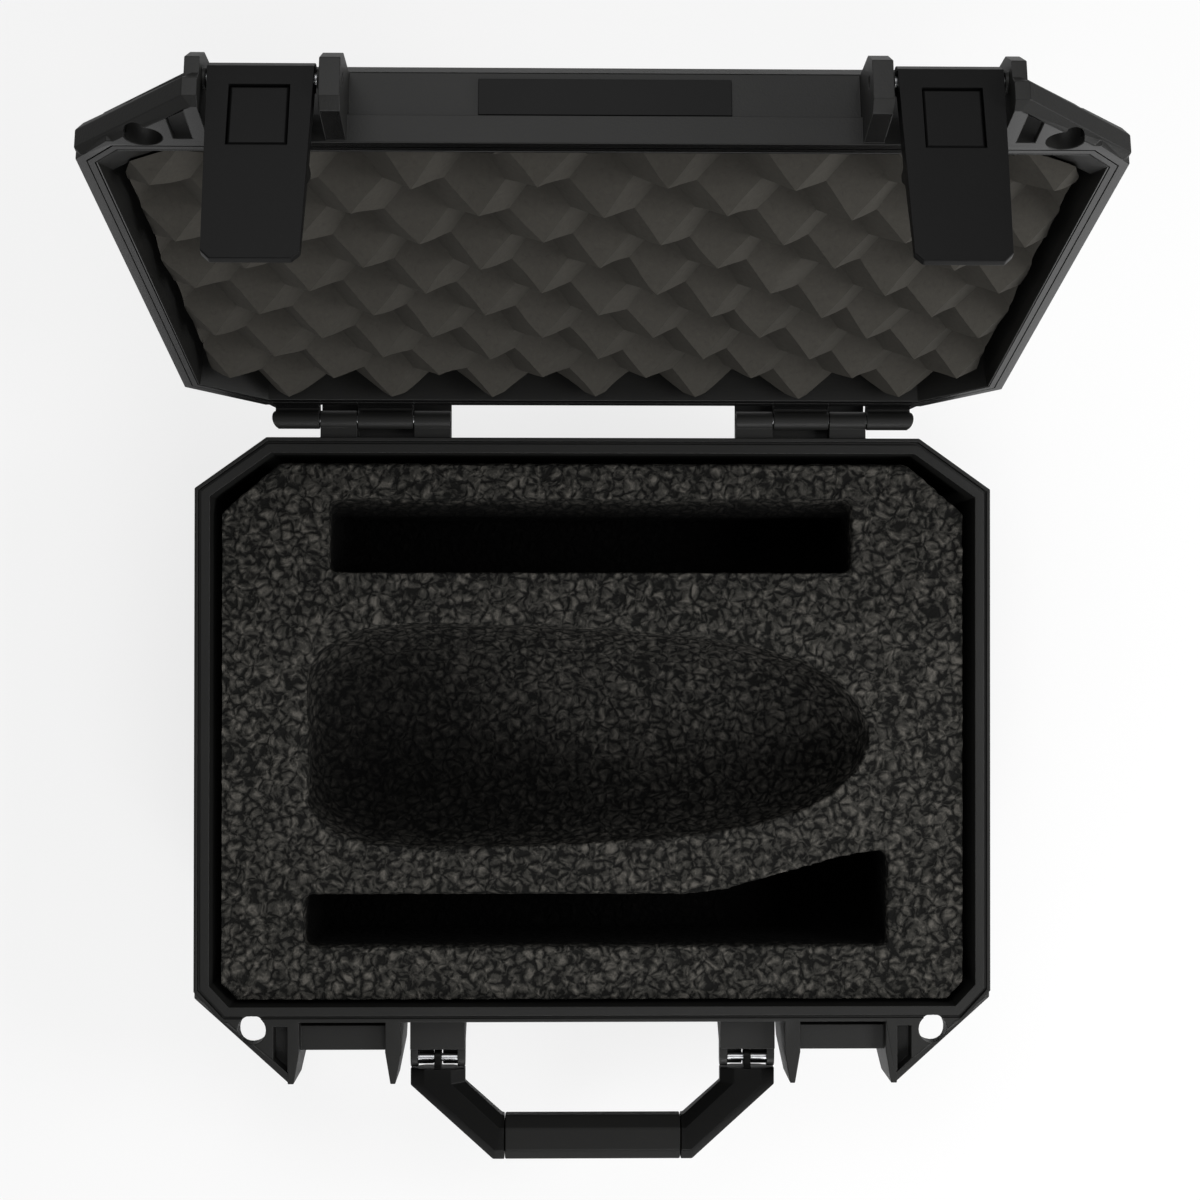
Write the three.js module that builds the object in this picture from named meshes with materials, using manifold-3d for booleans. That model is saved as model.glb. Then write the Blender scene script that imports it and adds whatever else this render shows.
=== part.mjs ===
// Hard carry case, photographed open: a moulded tub and lid, hinged at the back, with two
// latches on the lid, a fold-down handle on the tub and foam cut for a table-top camera.
// Millimetres, +Z up. The origin is the middle of the tub's flat underside.
// Shapes are written with the parting plane at z = 0 and the lid closed and latched;
// groups then lift the case onto its underside and turn the lid and latches to their rest.

import * as THREE from 'three';
import { mergeVertices } from 'three/addons/utils/BufferGeometryUtils.js';
import Module from 'manifold-3d';

const wasm = await Module();
wasm.setup();

// Driving dimensions
const RIM_WIDTH = 390;
const RIM_DEPTH = 286;
const TUB_HEIGHT = 110;
const LID_HEIGHT = 37.5;
const LID_OPEN_DEGREES = 103.9;
const LATCH_REST_DEGREES = 7;

// Fits shared by all pieces
const FIT_GAP = 0.3;
const RUNNING_GAP = 0.4;
const OVERRUN = 5;
const ROUND_SEGMENTS = 24;
const WELD_SHARE = 0.001;

// Rim outline, with its four cut corners
const BACK_CUT_X = 35;
const BACK_CUT_Y = 25;
const FRONT_CUT_X = 14;
const FRONT_CUT_Y = 15;
const FLANGE_OVERHANG = 4;
const RIM_BAND = 7.7;
const RIM_GROOVE_IN = 1.8;
const RIM_GROOVE_WIDTH = 1.4;
const RIM_GROOVE_DEPTH = 2.2;
const RIM_STEP = 0.8;

// Tub walls
const TUB_FLANGE_HEIGHT = 12;
const TUB_DRAFT = 4;
const TUB_FOOT_CHAMFER = 9;
const TUB_FLOOR = 4;
const STIFFENER_THICKNESS = 4;
const STIFFENER_HEIGHT = 34;
const STIFFENER_COUNT_SIDE = 4;
const STIFFENER_PITCH = 48;
const BACK_STIFFENER_PITCH = 56;

// Lid walls
const LID_BAND_HEIGHT = 11.5;
const LID_CHAMFER = 7;
const LID_CROWN = 3.5;
const LID_INNER_DRAFT = 1;
const CROWN_CUT_X = 40;
const CROWN_CUT_Y = 36;
const CROWN_PANEL_IN = 26;
const CROWN_PANEL_RISE = 1.2;
const GASKET_IN = 4.2;
const GASKET_WIDTH = 2.4;
const GASKET_HEIGHT = 2.6;

// Hinge line behind the rim and below the parting plane
const HINGE_BEHIND_RIM = 8.8;
const HINGE_BELOW_RIM = 4.1;
const KNUCKLE_RADIUS = 4.5;
const HINGE_INNER_SHARE = 0.359;
const HINGE_KNUCKLE = 18;
const HINGE_MIDDLE_KNUCKLE = 27;
const HINGE_EAR = 20.5;
const HINGE_EAR_SLOPE = 5;
const HINGE_SHELF_BEHIND = 8.7;
const HINGE_SHELF = 1.9;
const PIN_DIAMETER = 4;
const PIN_RECESS = 1;

// Latch bays on the front, alike on tub and lid
const INNER_RIB_SHARE = 0.482;
const INNER_RIB_THICKNESS = 7.6;
const OUTER_RIB_SHARE = 0.736;
const OUTER_RIB_THICKNESS = 5.5;
const RIB_REACH = 30;
const TUB_RIB_FACE = 34;
const TUB_RIB_FOOT = 64;
const RIB_TOP_GAP = 0.8;
const RIB_TAPER = 2.6;
const LID_RIB_REACH = 27;
const LID_RIB_FACE = 20;
const LID_RIB_SHOULDER = 27;
const LID_RIB_SHOULDER_REACH = 17;
const LID_RIB_CORNER = 4;
const BAR_REACH = 14.7;
const BAR_TOP = 8;
const BAR_HEIGHT = 10;
const BAR_SLOT_WIDTH = 2.6;
const BAR_SLOT_DEPTH = 6;

// Corner gussets with padlock holes
const GUSSET_SIDE_BACK = 11.5;
const GUSSET_HEIGHT = 13;
const GUSSET_CHAMFER = 3;
const PADLOCK_HOLE = 14;
const PADLOCK_SHARE = 0.855;
const PADLOCK_REACH = 3.7;
const GUSSET_PLATE = 2.4;
const GUSSET_FLOOR = 4;
const GUSSET_POCKET_WIDTH = 6.7;

// Latches
const LATCH_SIDE_CLEARANCE = 1.7;
const LATCH_COLLAR_WALL = 1.6;
const LATCH_TAPER = 2.2;
const LATCH_THICKNESS = 7;
const LATCH_BAR_CLEARANCE = 1.8;
const LATCH_PIVOT_Z = 15.9;
const LATCH_PIVOT_IN = 1.7;
const LATCH_TOP = 6;
const LATCH_TOP_CHAMFER = 4;
const LATCH_TIP_Z = -60;
const LATCH_TIP_THICKNESS = 3.5;
const LATCH_BOSS_RADIUS = 5;
const HOOK_DEPTH = 3.4;
const HOOK_HEIGHT = 3.1;
const HOOK_SLOPE = 5;
const LATCH_CORNER = 3;
const BUTTON_WIDTH = 21;
const BUTTON_HEIGHT = 24;
const BUTTON_CENTRE_Z = -2.1;
const BUTTON_THICKNESS = 2.4;
const BUTTON_SET_IN = 0.6;
const BUTTON_TRAVEL = 2;
const BUTTON_END_GAP = 0.5;
const BUTTON_CHAMFER = 0.8;
const SPRING_RADIUS = 4.6;
const SPRING_WIRE = 1.4;
const SPRING_PRESSED = 1.1;

// Handle and its brackets
const HANDLE_PIVOT_REACH = 20.6;
const HANDLE_PIVOT_DROP = 20;
const ARM_OUTER_SHARE = 0.4625;
const ARM_INNER_SHARE = 0.324;
const ARM_THICKNESS = 14;
const ARM_REAR = 4.9;
const ARM_STRAIGHT_OUT = 13.2;
const ARM_STRAIGHT_IN = 11.6;
const GRIP_SHARE = 0.2225;
const GRIP_ELBOW = 6;
const GRIP_INNER_REACH = 28;
const GRIP_OUTER_REACH = 49.8;
const GRIP_THICKNESS = 19;
const GRIP_CHAMFER = 5.5;
const GRIP_WALL = 4.7;
const GRIP_ELBOW_INSIDE = 1.5;
const CHEEK_WIDTH = 3.8;
const HANDLE_KNUCKLE_WIDTH = 3.6;
const BRACKET_TOP_RISE = 7;
const BRACKET_NOSE_DROP = 1.5;
const BRACKET_FOOT_DROP = 32;

// Blank plate on the lid's front wall
const PLATE_WIDTH = 93;
const PLATE_HEIGHT = 14.5;
const PLATE_THICKNESS = 1;
const PLATE_LIFT = 1.5;

// Foam in the tub
const FOAM_SIDE_GAP = 4.9;
const FOAM_FRONT_GAP = 2.2;
const FOAM_BACK_GAP = 4.2;
const FOAM_BACK_CUT_X = 28;
const FOAM_BACK_CUT_Y = 24;
const FOAM_FRONT_CUT = 8;
const FOAM_TOP_DROP = 6;
const FOAM_DRAFT = 2.4;
const FOAM_FLOOR_HEIGHT = 15;

// Pockets in the foam
const POCKET_DEPTH = 72;
const BACK_SLOT_LEFT = -129.4;
const BACK_SLOT_RIGHT = 126.7;
const BACK_SLOT_FRONT = 77.3;
const BACK_SLOT_BACK = 105.3;
const BACK_SLOT_LIP = 8;
const BACK_SLOT_LIP_DEPTH = 24;
const FRONT_SLOT_LEFT = -141.2;
const FRONT_SLOT_RIGHT = 144.6;
const FRONT_SLOT_FRONT = -106.3;
const FRONT_SLOT_BACK = -81.5;
const FRONT_SLOT_FLARE = 21.4;
const FRONT_SLOT_FLARE_X = 48;
const FLARE_SHARES = [[0, 0], [0.18, 0.12], [0.36, 0.34], [0.71, 0.79], [0.88, 0.95], [1, 1]];
const CRADLE_LEFT = -139.9;
const CRADLE_RIGHT = 135.6;
const CRADLE_CENTRE_Y = -3.2;
const CRADLE_HALF_WIDTH = 55.2;
const CRADLE_DEPTH = 46;
const CRADLE_ARC_STEPS = 12;
// Each row: place along the cradle, its half width and its depth, as shares of the above
const CRADLE_SHARES = [
  [0, 0.6, 0.5],
  [0.02, 0.75, 0.72],
  [0.05, 0.86, 0.86],
  [0.1, 0.95, 0.95],
  [0.2, 1, 1],
  [0.4, 0.98, 0.99],
  [0.58, 0.93, 0.95],
  [0.7, 0.88, 0.9],
  [0.8, 0.79, 0.82],
  [0.88, 0.67, 0.72],
  [0.94, 0.5, 0.57],
  [0.98, 0.29, 0.36],
  [1, 0.07, 0.1],
];

// Egg-crate foam in the lid
const CRATE_SIDE_GAP = 1.6;
const CRATE_BACK_GAP = 2.6;
const CRATE_FRONT_GAP = 7.5;
const CRATE_PITCH_X = 49.5;
const CRATE_PITCH_Y = 52;
const CRATE_PEAK_DROP = 5;
const CRATE_PEAK_HEIGHT = 24;
const CRATE_ROW_FROM_HINGE = 26;
const CRATE_STEPS = 4;

// Places worked out from the sizes above
const HALF_WIDTH = RIM_WIDTH / 2;
const INNER_RIB_X = HALF_WIDTH * INNER_RIB_SHARE;
const OUTER_RIB_X = HALF_WIDTH * OUTER_RIB_SHARE;
const PADLOCK_X = HALF_WIDTH * PADLOCK_SHARE;
const HINGE_INNER_X = HALF_WIDTH * HINGE_INNER_SHARE;
const ARM_OUTER_X = HALF_WIDTH * ARM_OUTER_SHARE;
const ARM_INNER_X = HALF_WIDTH * ARM_INNER_SHARE;
const GRIP_HALF = HALF_WIDTH * GRIP_SHARE;
const BACK = RIM_DEPTH / 2;
const FRONT = -RIM_DEPTH / 2;
const HINGE_Y = BACK + HINGE_BEHIND_RIM;
const HINGE_Z = -HINGE_BELOW_RIM;
const WALL_FRONT = FRONT + FLANGE_OVERHANG;
const WALL_BACK = BACK - FLANGE_OVERHANG;
const RIB_TIP_Y = FRONT - RIB_REACH;
const BAR_FRONT_Y = FRONT - BAR_REACH;
const BAY_INNER_X = INNER_RIB_X + INNER_RIB_THICKNESS;
const LATCH_INNER_Y = BAR_FRONT_Y - LATCH_BAR_CLEARANCE;
const LATCH_OUTER_Y = LATCH_INNER_Y - LATCH_THICKNESS;
const LATCH_PIVOT_Y = LATCH_INNER_Y - LATCH_PIVOT_IN;
const LATCH_CENTRE_X = (BAY_INNER_X + OUTER_RIB_X) / 2;
const LATCH_HALF_WIDTH = (OUTER_RIB_X - BAY_INNER_X) / 2 - LATCH_SIDE_CLEARANCE;
const HANDLE_Y = FRONT - HANDLE_PIVOT_REACH;
const HANDLE_Z = -HANDLE_PIVOT_DROP;
const PIN_RADIUS = PIN_DIAMETER / 2;
const PIN_BORE = PIN_RADIUS + FIT_GAP;
const HINGE_MIDDLE_X = HINGE_INNER_X + HINGE_KNUCKLE;
const HINGE_OUTER_X = HINGE_MIDDLE_X + RUNNING_GAP + HINGE_MIDDLE_KNUCKLE + RUNNING_GAP;
const HINGE_EAR_X = HINGE_OUTER_X + HINGE_KNUCKLE + RUNNING_GAP;
const HINGE_END_X = HINGE_EAR_X + HINGE_EAR;
const ARM_CENTRE_X = (ARM_INNER_X + ARM_OUTER_X) / 2;
const BUTTON_OUTER_Y = LATCH_OUTER_Y + BUTTON_SET_IN;
const BUTTON_INNER_Y = BUTTON_OUTER_Y + BUTTON_THICKNESS;
const BUTTON_POCKET_Y = BUTTON_INNER_Y + BUTTON_TRAVEL + BUTTON_END_GAP;
const SPRING_SEAT_Y = BUTTON_POCKET_Y - FIT_GAP;
const SPRING_BORE_Y = SPRING_SEAT_Y - SPRING_PRESSED - FIT_GAP - BUTTON_TRAVEL;
const CROSSBAR_DEPTH = GRIP_OUTER_REACH - GRIP_INNER_REACH - 2 * (GRIP_WALL + FIT_GAP);
const CROSSBAR_THICKNESS = GRIP_THICKNESS - 2 * (GRIP_WALL + FIT_GAP);

const shellMaterial = new THREE.MeshStandardMaterial({ color: 0x2b2b2a, roughness: 0.62, metalness: 0 });
const latchMaterial = new THREE.MeshStandardMaterial({ color: 0x262626, roughness: 0.5, metalness: 0 });
const foamMaterial = new THREE.MeshStandardMaterial({ color: 0x3a3938, roughness: 0.95, metalness: 0 });
const crateMaterial = new THREE.MeshStandardMaterial({ color: 0x4a4844, roughness: 0.95, metalness: 0 });
const rubberMaterial = new THREE.MeshStandardMaterial({ color: 0x1b1b1b, roughness: 0.85, metalness: 0 });
const steelMaterial = new THREE.MeshStandardMaterial({ color: 0xb9bcbf, roughness: 0.3, metalness: 1 });

// Solid from a closed geometry
function solid(geometry) {
  const bare = geometry.index ? geometry.clone() : geometry;
  bare.deleteAttribute('normal');
  bare.deleteAttribute('uv');
  const welded = mergeVertices(bare, FIT_GAP * WELD_SHARE);
  return new wasm.Manifold(new wasm.Mesh({
    numProp: 3,
    vertProperties: new Float32Array(welded.attributes.position.array),
    triVerts: new Uint32Array(welded.index.array),
  }));
}

// Geometry from a finished solid
function geometryOf(body) {
  const mesh = body.getMesh();
  const geometry = new THREE.BufferGeometry();
  geometry.setAttribute('position', new THREE.BufferAttribute(new Float32Array(mesh.vertProperties), 3));
  geometry.setIndex(new THREE.BufferAttribute(new Uint32Array(mesh.triVerts), 1));
  geometry.computeVertexNormals();
  return geometry;
}

function joined(bodies) {
  return bodies.reduce((whole, body) => whole.add(body));
}

// Prism with a profile in Y and Z, running along X
function alongX(profile, fromX, toX) {
  const shape = new THREE.Shape(profile.map(([y, z]) => new THREE.Vector2(y, z)));
  const geometry = new THREE.ExtrudeGeometry(shape, { depth: toX - fromX, bevelEnabled: false });
  const turn = new THREE.Matrix4().makeBasis(
    new THREE.Vector3(0, 1, 0),
    new THREE.Vector3(0, 0, 1),
    new THREE.Vector3(1, 0, 0),
  );
  geometry.applyMatrix4(turn);
  geometry.translate(fromX, 0, 0);
  return solid(geometry);
}

// Prism with a profile in X and Z, running along Y
function alongY(profile, fromY, toY) {
  const shape = new THREE.Shape(profile.map(([x, z]) => new THREE.Vector2(x, z)));
  const geometry = new THREE.ExtrudeGeometry(shape, { depth: toY - fromY, bevelEnabled: false });
  geometry.rotateX(Math.PI / 2);
  geometry.translate(0, toY, 0);
  return solid(geometry);
}

// Prism with an outline in X and Y, running along Z
function alongZ(outline, fromZ, toZ) {
  const shape = new THREE.Shape(outline.map(([x, y]) => new THREE.Vector2(x, y)));
  const geometry = new THREE.ExtrudeGeometry(shape, { depth: toZ - fromZ, bevelEnabled: false });
  geometry.translate(0, 0, fromZ);
  return solid(geometry);
}

function block(fromX, toX, fromY, toY, fromZ, toZ) {
  const geometry = new THREE.BoxGeometry(toX - fromX, toY - fromY, toZ - fromZ);
  geometry.translate((fromX + toX) / 2, (fromY + toY) / 2, (fromZ + toZ) / 2);
  return solid(geometry);
}

function rodAlongX(radius, fromX, toX, y, z) {
  const geometry = new THREE.CylinderGeometry(radius, radius, toX - fromX, ROUND_SEGMENTS);
  geometry.rotateZ(Math.PI / 2);
  geometry.translate((fromX + toX) / 2, y, z);
  return solid(geometry);
}

function rodAlongZ(radius, x, y, fromZ, toZ) {
  const geometry = new THREE.CylinderGeometry(radius, radius, toZ - fromZ, ROUND_SEGMENTS);
  geometry.rotateX(Math.PI / 2);
  geometry.translate(x, y, (fromZ + toZ) / 2);
  return solid(geometry);
}

// The same shape on the right or, mirrored, on the left of the case
function onSide(side, body) {
  return side > 0 ? body : body.mirror([1, 0, 0]);
}

// Rings of points joined in order; the ends are capped, or the last ring meets the first
function loft(rings, closed) {
  const count = rings[0].length;
  const positions = rings.flat(2);
  const index = [];
  const steps = closed ? rings.length : rings.length - 1;
  for (let ring = 0; ring < steps; ring += 1) {
    const next = (ring + 1) % rings.length;
    for (let i = 0; i < count; i += 1) {
      const a = ring * count + i;
      const b = ring * count + ((i + 1) % count);
      const c = next * count + i;
      const d = next * count + ((i + 1) % count);
      index.push(a, b, d, a, d, c);
    }
  }
  if (!closed) {
    const last = (rings.length - 1) * count;
    for (let i = 1; i < count - 1; i += 1) {
      index.push(0, i + 1, i);
      index.push(last, last + i, last + i + 1);
    }
  }
  const geometry = new THREE.BufferGeometry();
  geometry.setAttribute('position', new THREE.BufferAttribute(new Float32Array(positions), 3));
  geometry.setIndex(signedVolume(positions, index) < 0 ? index.reverse() : index);
  return solid(geometry);
}

function signedVolume(positions, index) {
  let volume = 0;
  const corner = (i) => new THREE.Vector3().fromArray(positions, 3 * index[i]);
  for (let i = 0; i < index.length; i += 3) {
    volume += corner(i).dot(corner(i + 1).cross(corner(i + 2)));
  }
  return volume;
}

// Eight-cornered outline, moved inwards by an inset, at one height
function outlineRing(size, inset, z) {
  const shrink = (cutX, cutY) => 1 - (inset * (cutX + cutY - Math.hypot(cutX, cutY))) / (cutX * cutY);
  const halfWidth = size.halfWidth - inset;
  const back = size.back - inset;
  const front = size.front + inset;
  const backX = size.backCutX * shrink(size.backCutX, size.backCutY);
  const backY = size.backCutY * shrink(size.backCutX, size.backCutY);
  const frontX = size.frontCutX * shrink(size.frontCutX, size.frontCutY);
  const frontY = size.frontCutY * shrink(size.frontCutX, size.frontCutY);
  return [
    [-halfWidth + frontX, front, z],
    [halfWidth - frontX, front, z],
    [halfWidth, front + frontY, z],
    [halfWidth, back - backY, z],
    [halfWidth - backX, back, z],
    [-halfWidth + backX, back, z],
    [-halfWidth, back - backY, z],
    [-halfWidth, front + frontY, z],
  ];
}

const rimSize = {
  halfWidth: HALF_WIDTH,
  back: BACK,
  front: FRONT,
  backCutX: BACK_CUT_X,
  backCutY: BACK_CUT_Y,
  frontCutX: FRONT_CUT_X,
  frontCutY: FRONT_CUT_Y,
};

// The lid above its band has wider cuts at its two front corners
const crownSize = { ...rimSize, frontCutX: CROWN_CUT_X, frontCutY: CROWN_CUT_Y };

function loftInsets(size, steps, closed) {
  return loft(steps.map(([inset, z]) => outlineRing(size, inset, z)), closed);
}

// Tub
function tubWalls() {
  const footZ = -TUB_HEIGHT;
  const wallFoot = FLANGE_OVERHANG + TUB_DRAFT;
  return loftInsets(rimSize, [
    [wallFoot + TUB_FOOT_CHAMFER, footZ],
    [wallFoot, footZ + TUB_FOOT_CHAMFER],
    [FLANGE_OVERHANG, -TUB_FLANGE_HEIGHT],
    [0, -TUB_FLANGE_HEIGHT],
    [0, -RIM_STEP],
    [RIM_GROOVE_IN, -RIM_STEP],
    [RIM_GROOVE_IN, 0],
    [RIM_BAND, 0],
    [RIM_BAND + TUB_DRAFT, footZ + TUB_FLOOR],
  ], false);
}

// Ring cut or laid into the rim, between two insets and two heights
function rimRing(outer, inner, low, high) {
  return loftInsets(rimSize, [[outer, low], [outer, high], [inner, high], [inner, low]], true);
}

// Rib profile of the tub's latch bay
function tubRib(fromX, thickness) {
  const top = -RIB_TOP_GAP;
  return alongX([
    [WALL_FRONT + FLANGE_OVERHANG / 2, top],
    [RIB_TIP_Y, top],
    [RIB_TIP_Y, -TUB_RIB_FACE],
    [WALL_FRONT + FLANGE_OVERHANG / 2, -TUB_RIB_FOOT],
  ], fromX, fromX + thickness);
}

// Wedge that narrows a rib of the tub from the bar to its tip
function ribTaper(x, towards) {
  return alongZ([
    [x, BAR_FRONT_Y],
    [x + towards * RIB_TAPER, RIB_TIP_Y],
    [x + towards * RIB_TAPER, RIB_TIP_Y - OVERRUN],
    [x - towards * FIT_GAP, RIB_TIP_Y - OVERRUN],
    [x - towards * FIT_GAP, BAR_FRONT_Y],
  ], -TUB_RIB_FOOT - OVERRUN, OVERRUN);
}

function latchBar() {
  const bottom = -BAR_TOP - BAR_HEIGHT;
  const ledge = block(
    BAY_INNER_X - FLANGE_OVERHANG, OUTER_RIB_X + FLANGE_OVERHANG,
    BAR_FRONT_Y, WALL_FRONT + FLANGE_OVERHANG / 2,
    bottom, -BAR_TOP,
  );
  const slot = block(
    BAY_INNER_X, OUTER_RIB_X,
    FRONT - BAR_SLOT_WIDTH, FRONT,
    -BAR_TOP - BAR_SLOT_DEPTH, OVERRUN,
  );
  return ledge.subtract(slot);
}

// Corner gusset outline, from the side of the rim to the tip of the outer rib
function gussetOutline(inset) {
  const outerX = OUTER_RIB_X + OUTER_RIB_THICKNESS;
  return [
    [OUTER_RIB_X, RIB_TIP_Y + inset],
    [outerX - inset, RIB_TIP_Y + inset],
    [HALF_WIDTH - inset, FRONT + GUSSET_SIDE_BACK],
    [HALF_WIDTH - inset, FRONT + FRONT_CUT_Y + GUSSET_SIDE_BACK],
    [HALF_WIDTH - FRONT_CUT_X, FRONT + RIM_BAND - FLANGE_OVERHANG],
    [OUTER_RIB_X, FRONT + RIM_BAND - FLANGE_OVERHANG],
  ];
}

function gusset(rimZ, outerZ) {
  const towards = Math.sign(outerZ - rimZ);
  const rings = [
    [GUSSET_CHAMFER, rimZ],
    [0, rimZ + towards * GUSSET_CHAMFER],
    [0, outerZ - towards * GUSSET_CHAMFER],
    [GUSSET_CHAMFER, outerZ],
  ];
  return loft(rings.map(([inset, z]) => gussetOutline(inset).map(([x, y]) => [x, y, z])), false);
}

function padlockHole() {
  const reach = GUSSET_HEIGHT + OVERRUN;
  return rodAlongZ(PADLOCK_HOLE / 2, PADLOCK_X, FRONT - PADLOCK_REACH, -reach, reach);
}

// Pocket beside the outer rib, its tip following the gusset's diagonal
function gussetPocket(fromZ, toZ) {
  const nearX = OUTER_RIB_X + OUTER_RIB_THICKNESS + FIT_GAP;
  const farX = nearX + GUSSET_POCKET_WIDTH;
  const slope = (RIB_REACH + GUSSET_SIDE_BACK) / (HALF_WIDTH - nearX);
  const tipY = RIB_TIP_Y + 2 * GUSSET_CHAMFER;
  const rootY = FRONT - FLANGE_OVERHANG / 2;
  return alongZ([
    [nearX, tipY],
    [farX, tipY + slope * GUSSET_POCKET_WIDTH],
    [farX, rootY],
    [nearX, rootY],
  ], fromZ, toZ);
}

// Hollow behind the plate of the lid's gusset, from the pocket to past the padlock hole
function gussetHollow() {
  const nearX = OUTER_RIB_X + OUTER_RIB_THICKNESS + FIT_GAP;
  const slope = (RIB_REACH + GUSSET_SIDE_BACK) / (HALF_WIDTH - nearX);
  const rootY = FRONT - FLANGE_OVERHANG / 2;
  const tipY = RIB_TIP_Y + 2 * GUSSET_CHAMFER;
  const tipZ = RUNNING_GAP + GUSSET_PLATE;
  return alongZ([
    [nearX, tipY],
    [nearX + (rootY - tipY) / slope, rootY],
    [nearX, rootY],
  ], tipZ, RUNNING_GAP + GUSSET_HEIGHT + OVERRUN);
}

function knuckle(fromX, toX) {
  return rodAlongX(KNUCKLE_RADIUS, fromX, toX, HINGE_Y, HINGE_Z);
}

// Arm from the tub's flange to its knuckle
function tubHingeArm(fromX, toX) {
  const arm = alongX([
    [WALL_BACK, -TUB_FLANGE_HEIGHT],
    [HINGE_Y, HINGE_Z - KNUCKLE_RADIUS],
    [HINGE_Y, HINGE_Z],
    [HINGE_Y - KNUCKLE_RADIUS, HINGE_Z + PIN_RADIUS],
    [WALL_BACK, -RIM_GROOVE_DEPTH],
  ], fromX, toX);
  return arm.add(knuckle(fromX, toX));
}

// Arm from the lid's band to its knuckle
function lidHingeArm(fromX, toX) {
  const arm = alongX([
    [BACK - FLANGE_OVERHANG / 2, RUNNING_GAP + RIB_TOP_GAP],
    [HINGE_Y - PIN_RADIUS, RUNNING_GAP + RIB_TOP_GAP],
    [HINGE_Y - PIN_RADIUS, HINGE_Z],
    [HINGE_Y + KNUCKLE_RADIUS, HINGE_Z],
    [HINGE_Y + KNUCKLE_RADIUS, HINGE_Z + KNUCKLE_RADIUS],
    [HINGE_Y, LID_BAND_HEIGHT - KNUCKLE_RADIUS],
    [BACK - FLANGE_OVERHANG / 2, LID_BAND_HEIGHT - RIB_TOP_GAP],
  ], fromX, toX);
  return arm.add(knuckle(fromX, toX));
}

// Outermost lid knuckle, its end sloping back to the corner of the rim
function lidHingeEar() {
  const wide = lidHingeArm(HINGE_EAR_X, HINGE_END_X + HINGE_EAR_SLOPE);
  const farY = HINGE_Y + KNUCKLE_RADIUS + OVERRUN;
  const plan = alongZ([
    [HINGE_EAR_X - OVERRUN, BACK - FLANGE_OVERHANG],
    [HINGE_END_X + HINGE_EAR_SLOPE, BACK - FLANGE_OVERHANG],
    [HINGE_END_X + HINGE_EAR_SLOPE, BACK],
    [HINGE_END_X, HINGE_Y],
    [HINGE_END_X, farY],
    [HINGE_EAR_X - OVERRUN, farY],
  ], -TUB_FLANGE_HEIGHT, LID_BAND_HEIGHT + OVERRUN);
  return wide.intersect(plan);
}

// Shelf of the tub under the knuckles
function hingeShelf() {
  return block(
    HINGE_INNER_X, HINGE_EAR_X - RUNNING_GAP,
    WALL_BACK - TUB_DRAFT, HINGE_Y + HINGE_SHELF_BEHIND,
    -TUB_FLANGE_HEIGHT, -TUB_FLANGE_HEIGHT + HINGE_SHELF,
  );
}

function hingeBore() {
  return rodAlongX(PIN_BORE, HINGE_INNER_X - OVERRUN, HINGE_END_X + OVERRUN, HINGE_Y, HINGE_Z);
}

// Flange stiffeners on the sides and the back
function sideStiffener(y) {
  const outerX = HALF_WIDTH;
  const wallX = HALF_WIDTH - FLANGE_OVERHANG - TUB_DRAFT;
  return alongY([
    [wallX, -TUB_FLANGE_HEIGHT + RIM_STEP],
    [outerX - RIM_STEP, -TUB_FLANGE_HEIGHT + RIM_STEP],
    [outerX - RIM_STEP, -TUB_FLANGE_HEIGHT - FLANGE_OVERHANG],
    [wallX, -TUB_FLANGE_HEIGHT - STIFFENER_HEIGHT],
  ], y - STIFFENER_THICKNESS / 2, y + STIFFENER_THICKNESS / 2);
}

function backStiffener(x) {
  const wallY = WALL_BACK - TUB_DRAFT;
  return alongX([
    [wallY, -TUB_FLANGE_HEIGHT + RIM_STEP],
    [BACK - RIM_STEP, -TUB_FLANGE_HEIGHT + RIM_STEP],
    [BACK - RIM_STEP, -TUB_FLANGE_HEIGHT - FLANGE_OVERHANG],
    [wallY, -TUB_FLANGE_HEIGHT - STIFFENER_HEIGHT],
  ], x - STIFFENER_THICKNESS / 2, x + STIFFENER_THICKNESS / 2);
}

// Handle bracket: a body on the wall and two cheeks that hold the pin
function handleBracket() {
  const noseY = HANDLE_Y + ARM_REAR;
  const rootY = WALL_FRONT + FLANGE_OVERHANG / 2;
  const top = HANDLE_Z + BRACKET_TOP_RISE;
  const body = alongX([
    [rootY, top],
    [noseY, top],
    [noseY, HANDLE_Z - BRACKET_NOSE_DROP],
    [rootY, HANDLE_Z - BRACKET_FOOT_DROP],
  ], ARM_INNER_X, ARM_OUTER_X);
  const cheeks = [ARM_INNER_X, ARM_OUTER_X - CHEEK_WIDTH].map((fromX) => {
    const toX = fromX + CHEEK_WIDTH;
    const web = alongX([
      [noseY + ARM_REAR, HANDLE_Z + KNUCKLE_RADIUS],
      [HANDLE_Y, HANDLE_Z + KNUCKLE_RADIUS],
      [HANDLE_Y, HANDLE_Z - KNUCKLE_RADIUS],
      [noseY + ARM_REAR, HANDLE_Z - KNUCKLE_RADIUS],
    ], fromX, toX);
    return web.add(rodAlongX(KNUCKLE_RADIUS, fromX, toX, HANDLE_Y, HANDLE_Z));
  });
  const bore = rodAlongX(PIN_BORE, ARM_INNER_X + PIN_RECESS, ARM_OUTER_X + OVERRUN, HANDLE_Y, HANDLE_Z);
  return joined([body, ...cheeks, handleTrough()]).subtract(bore);
}

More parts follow.
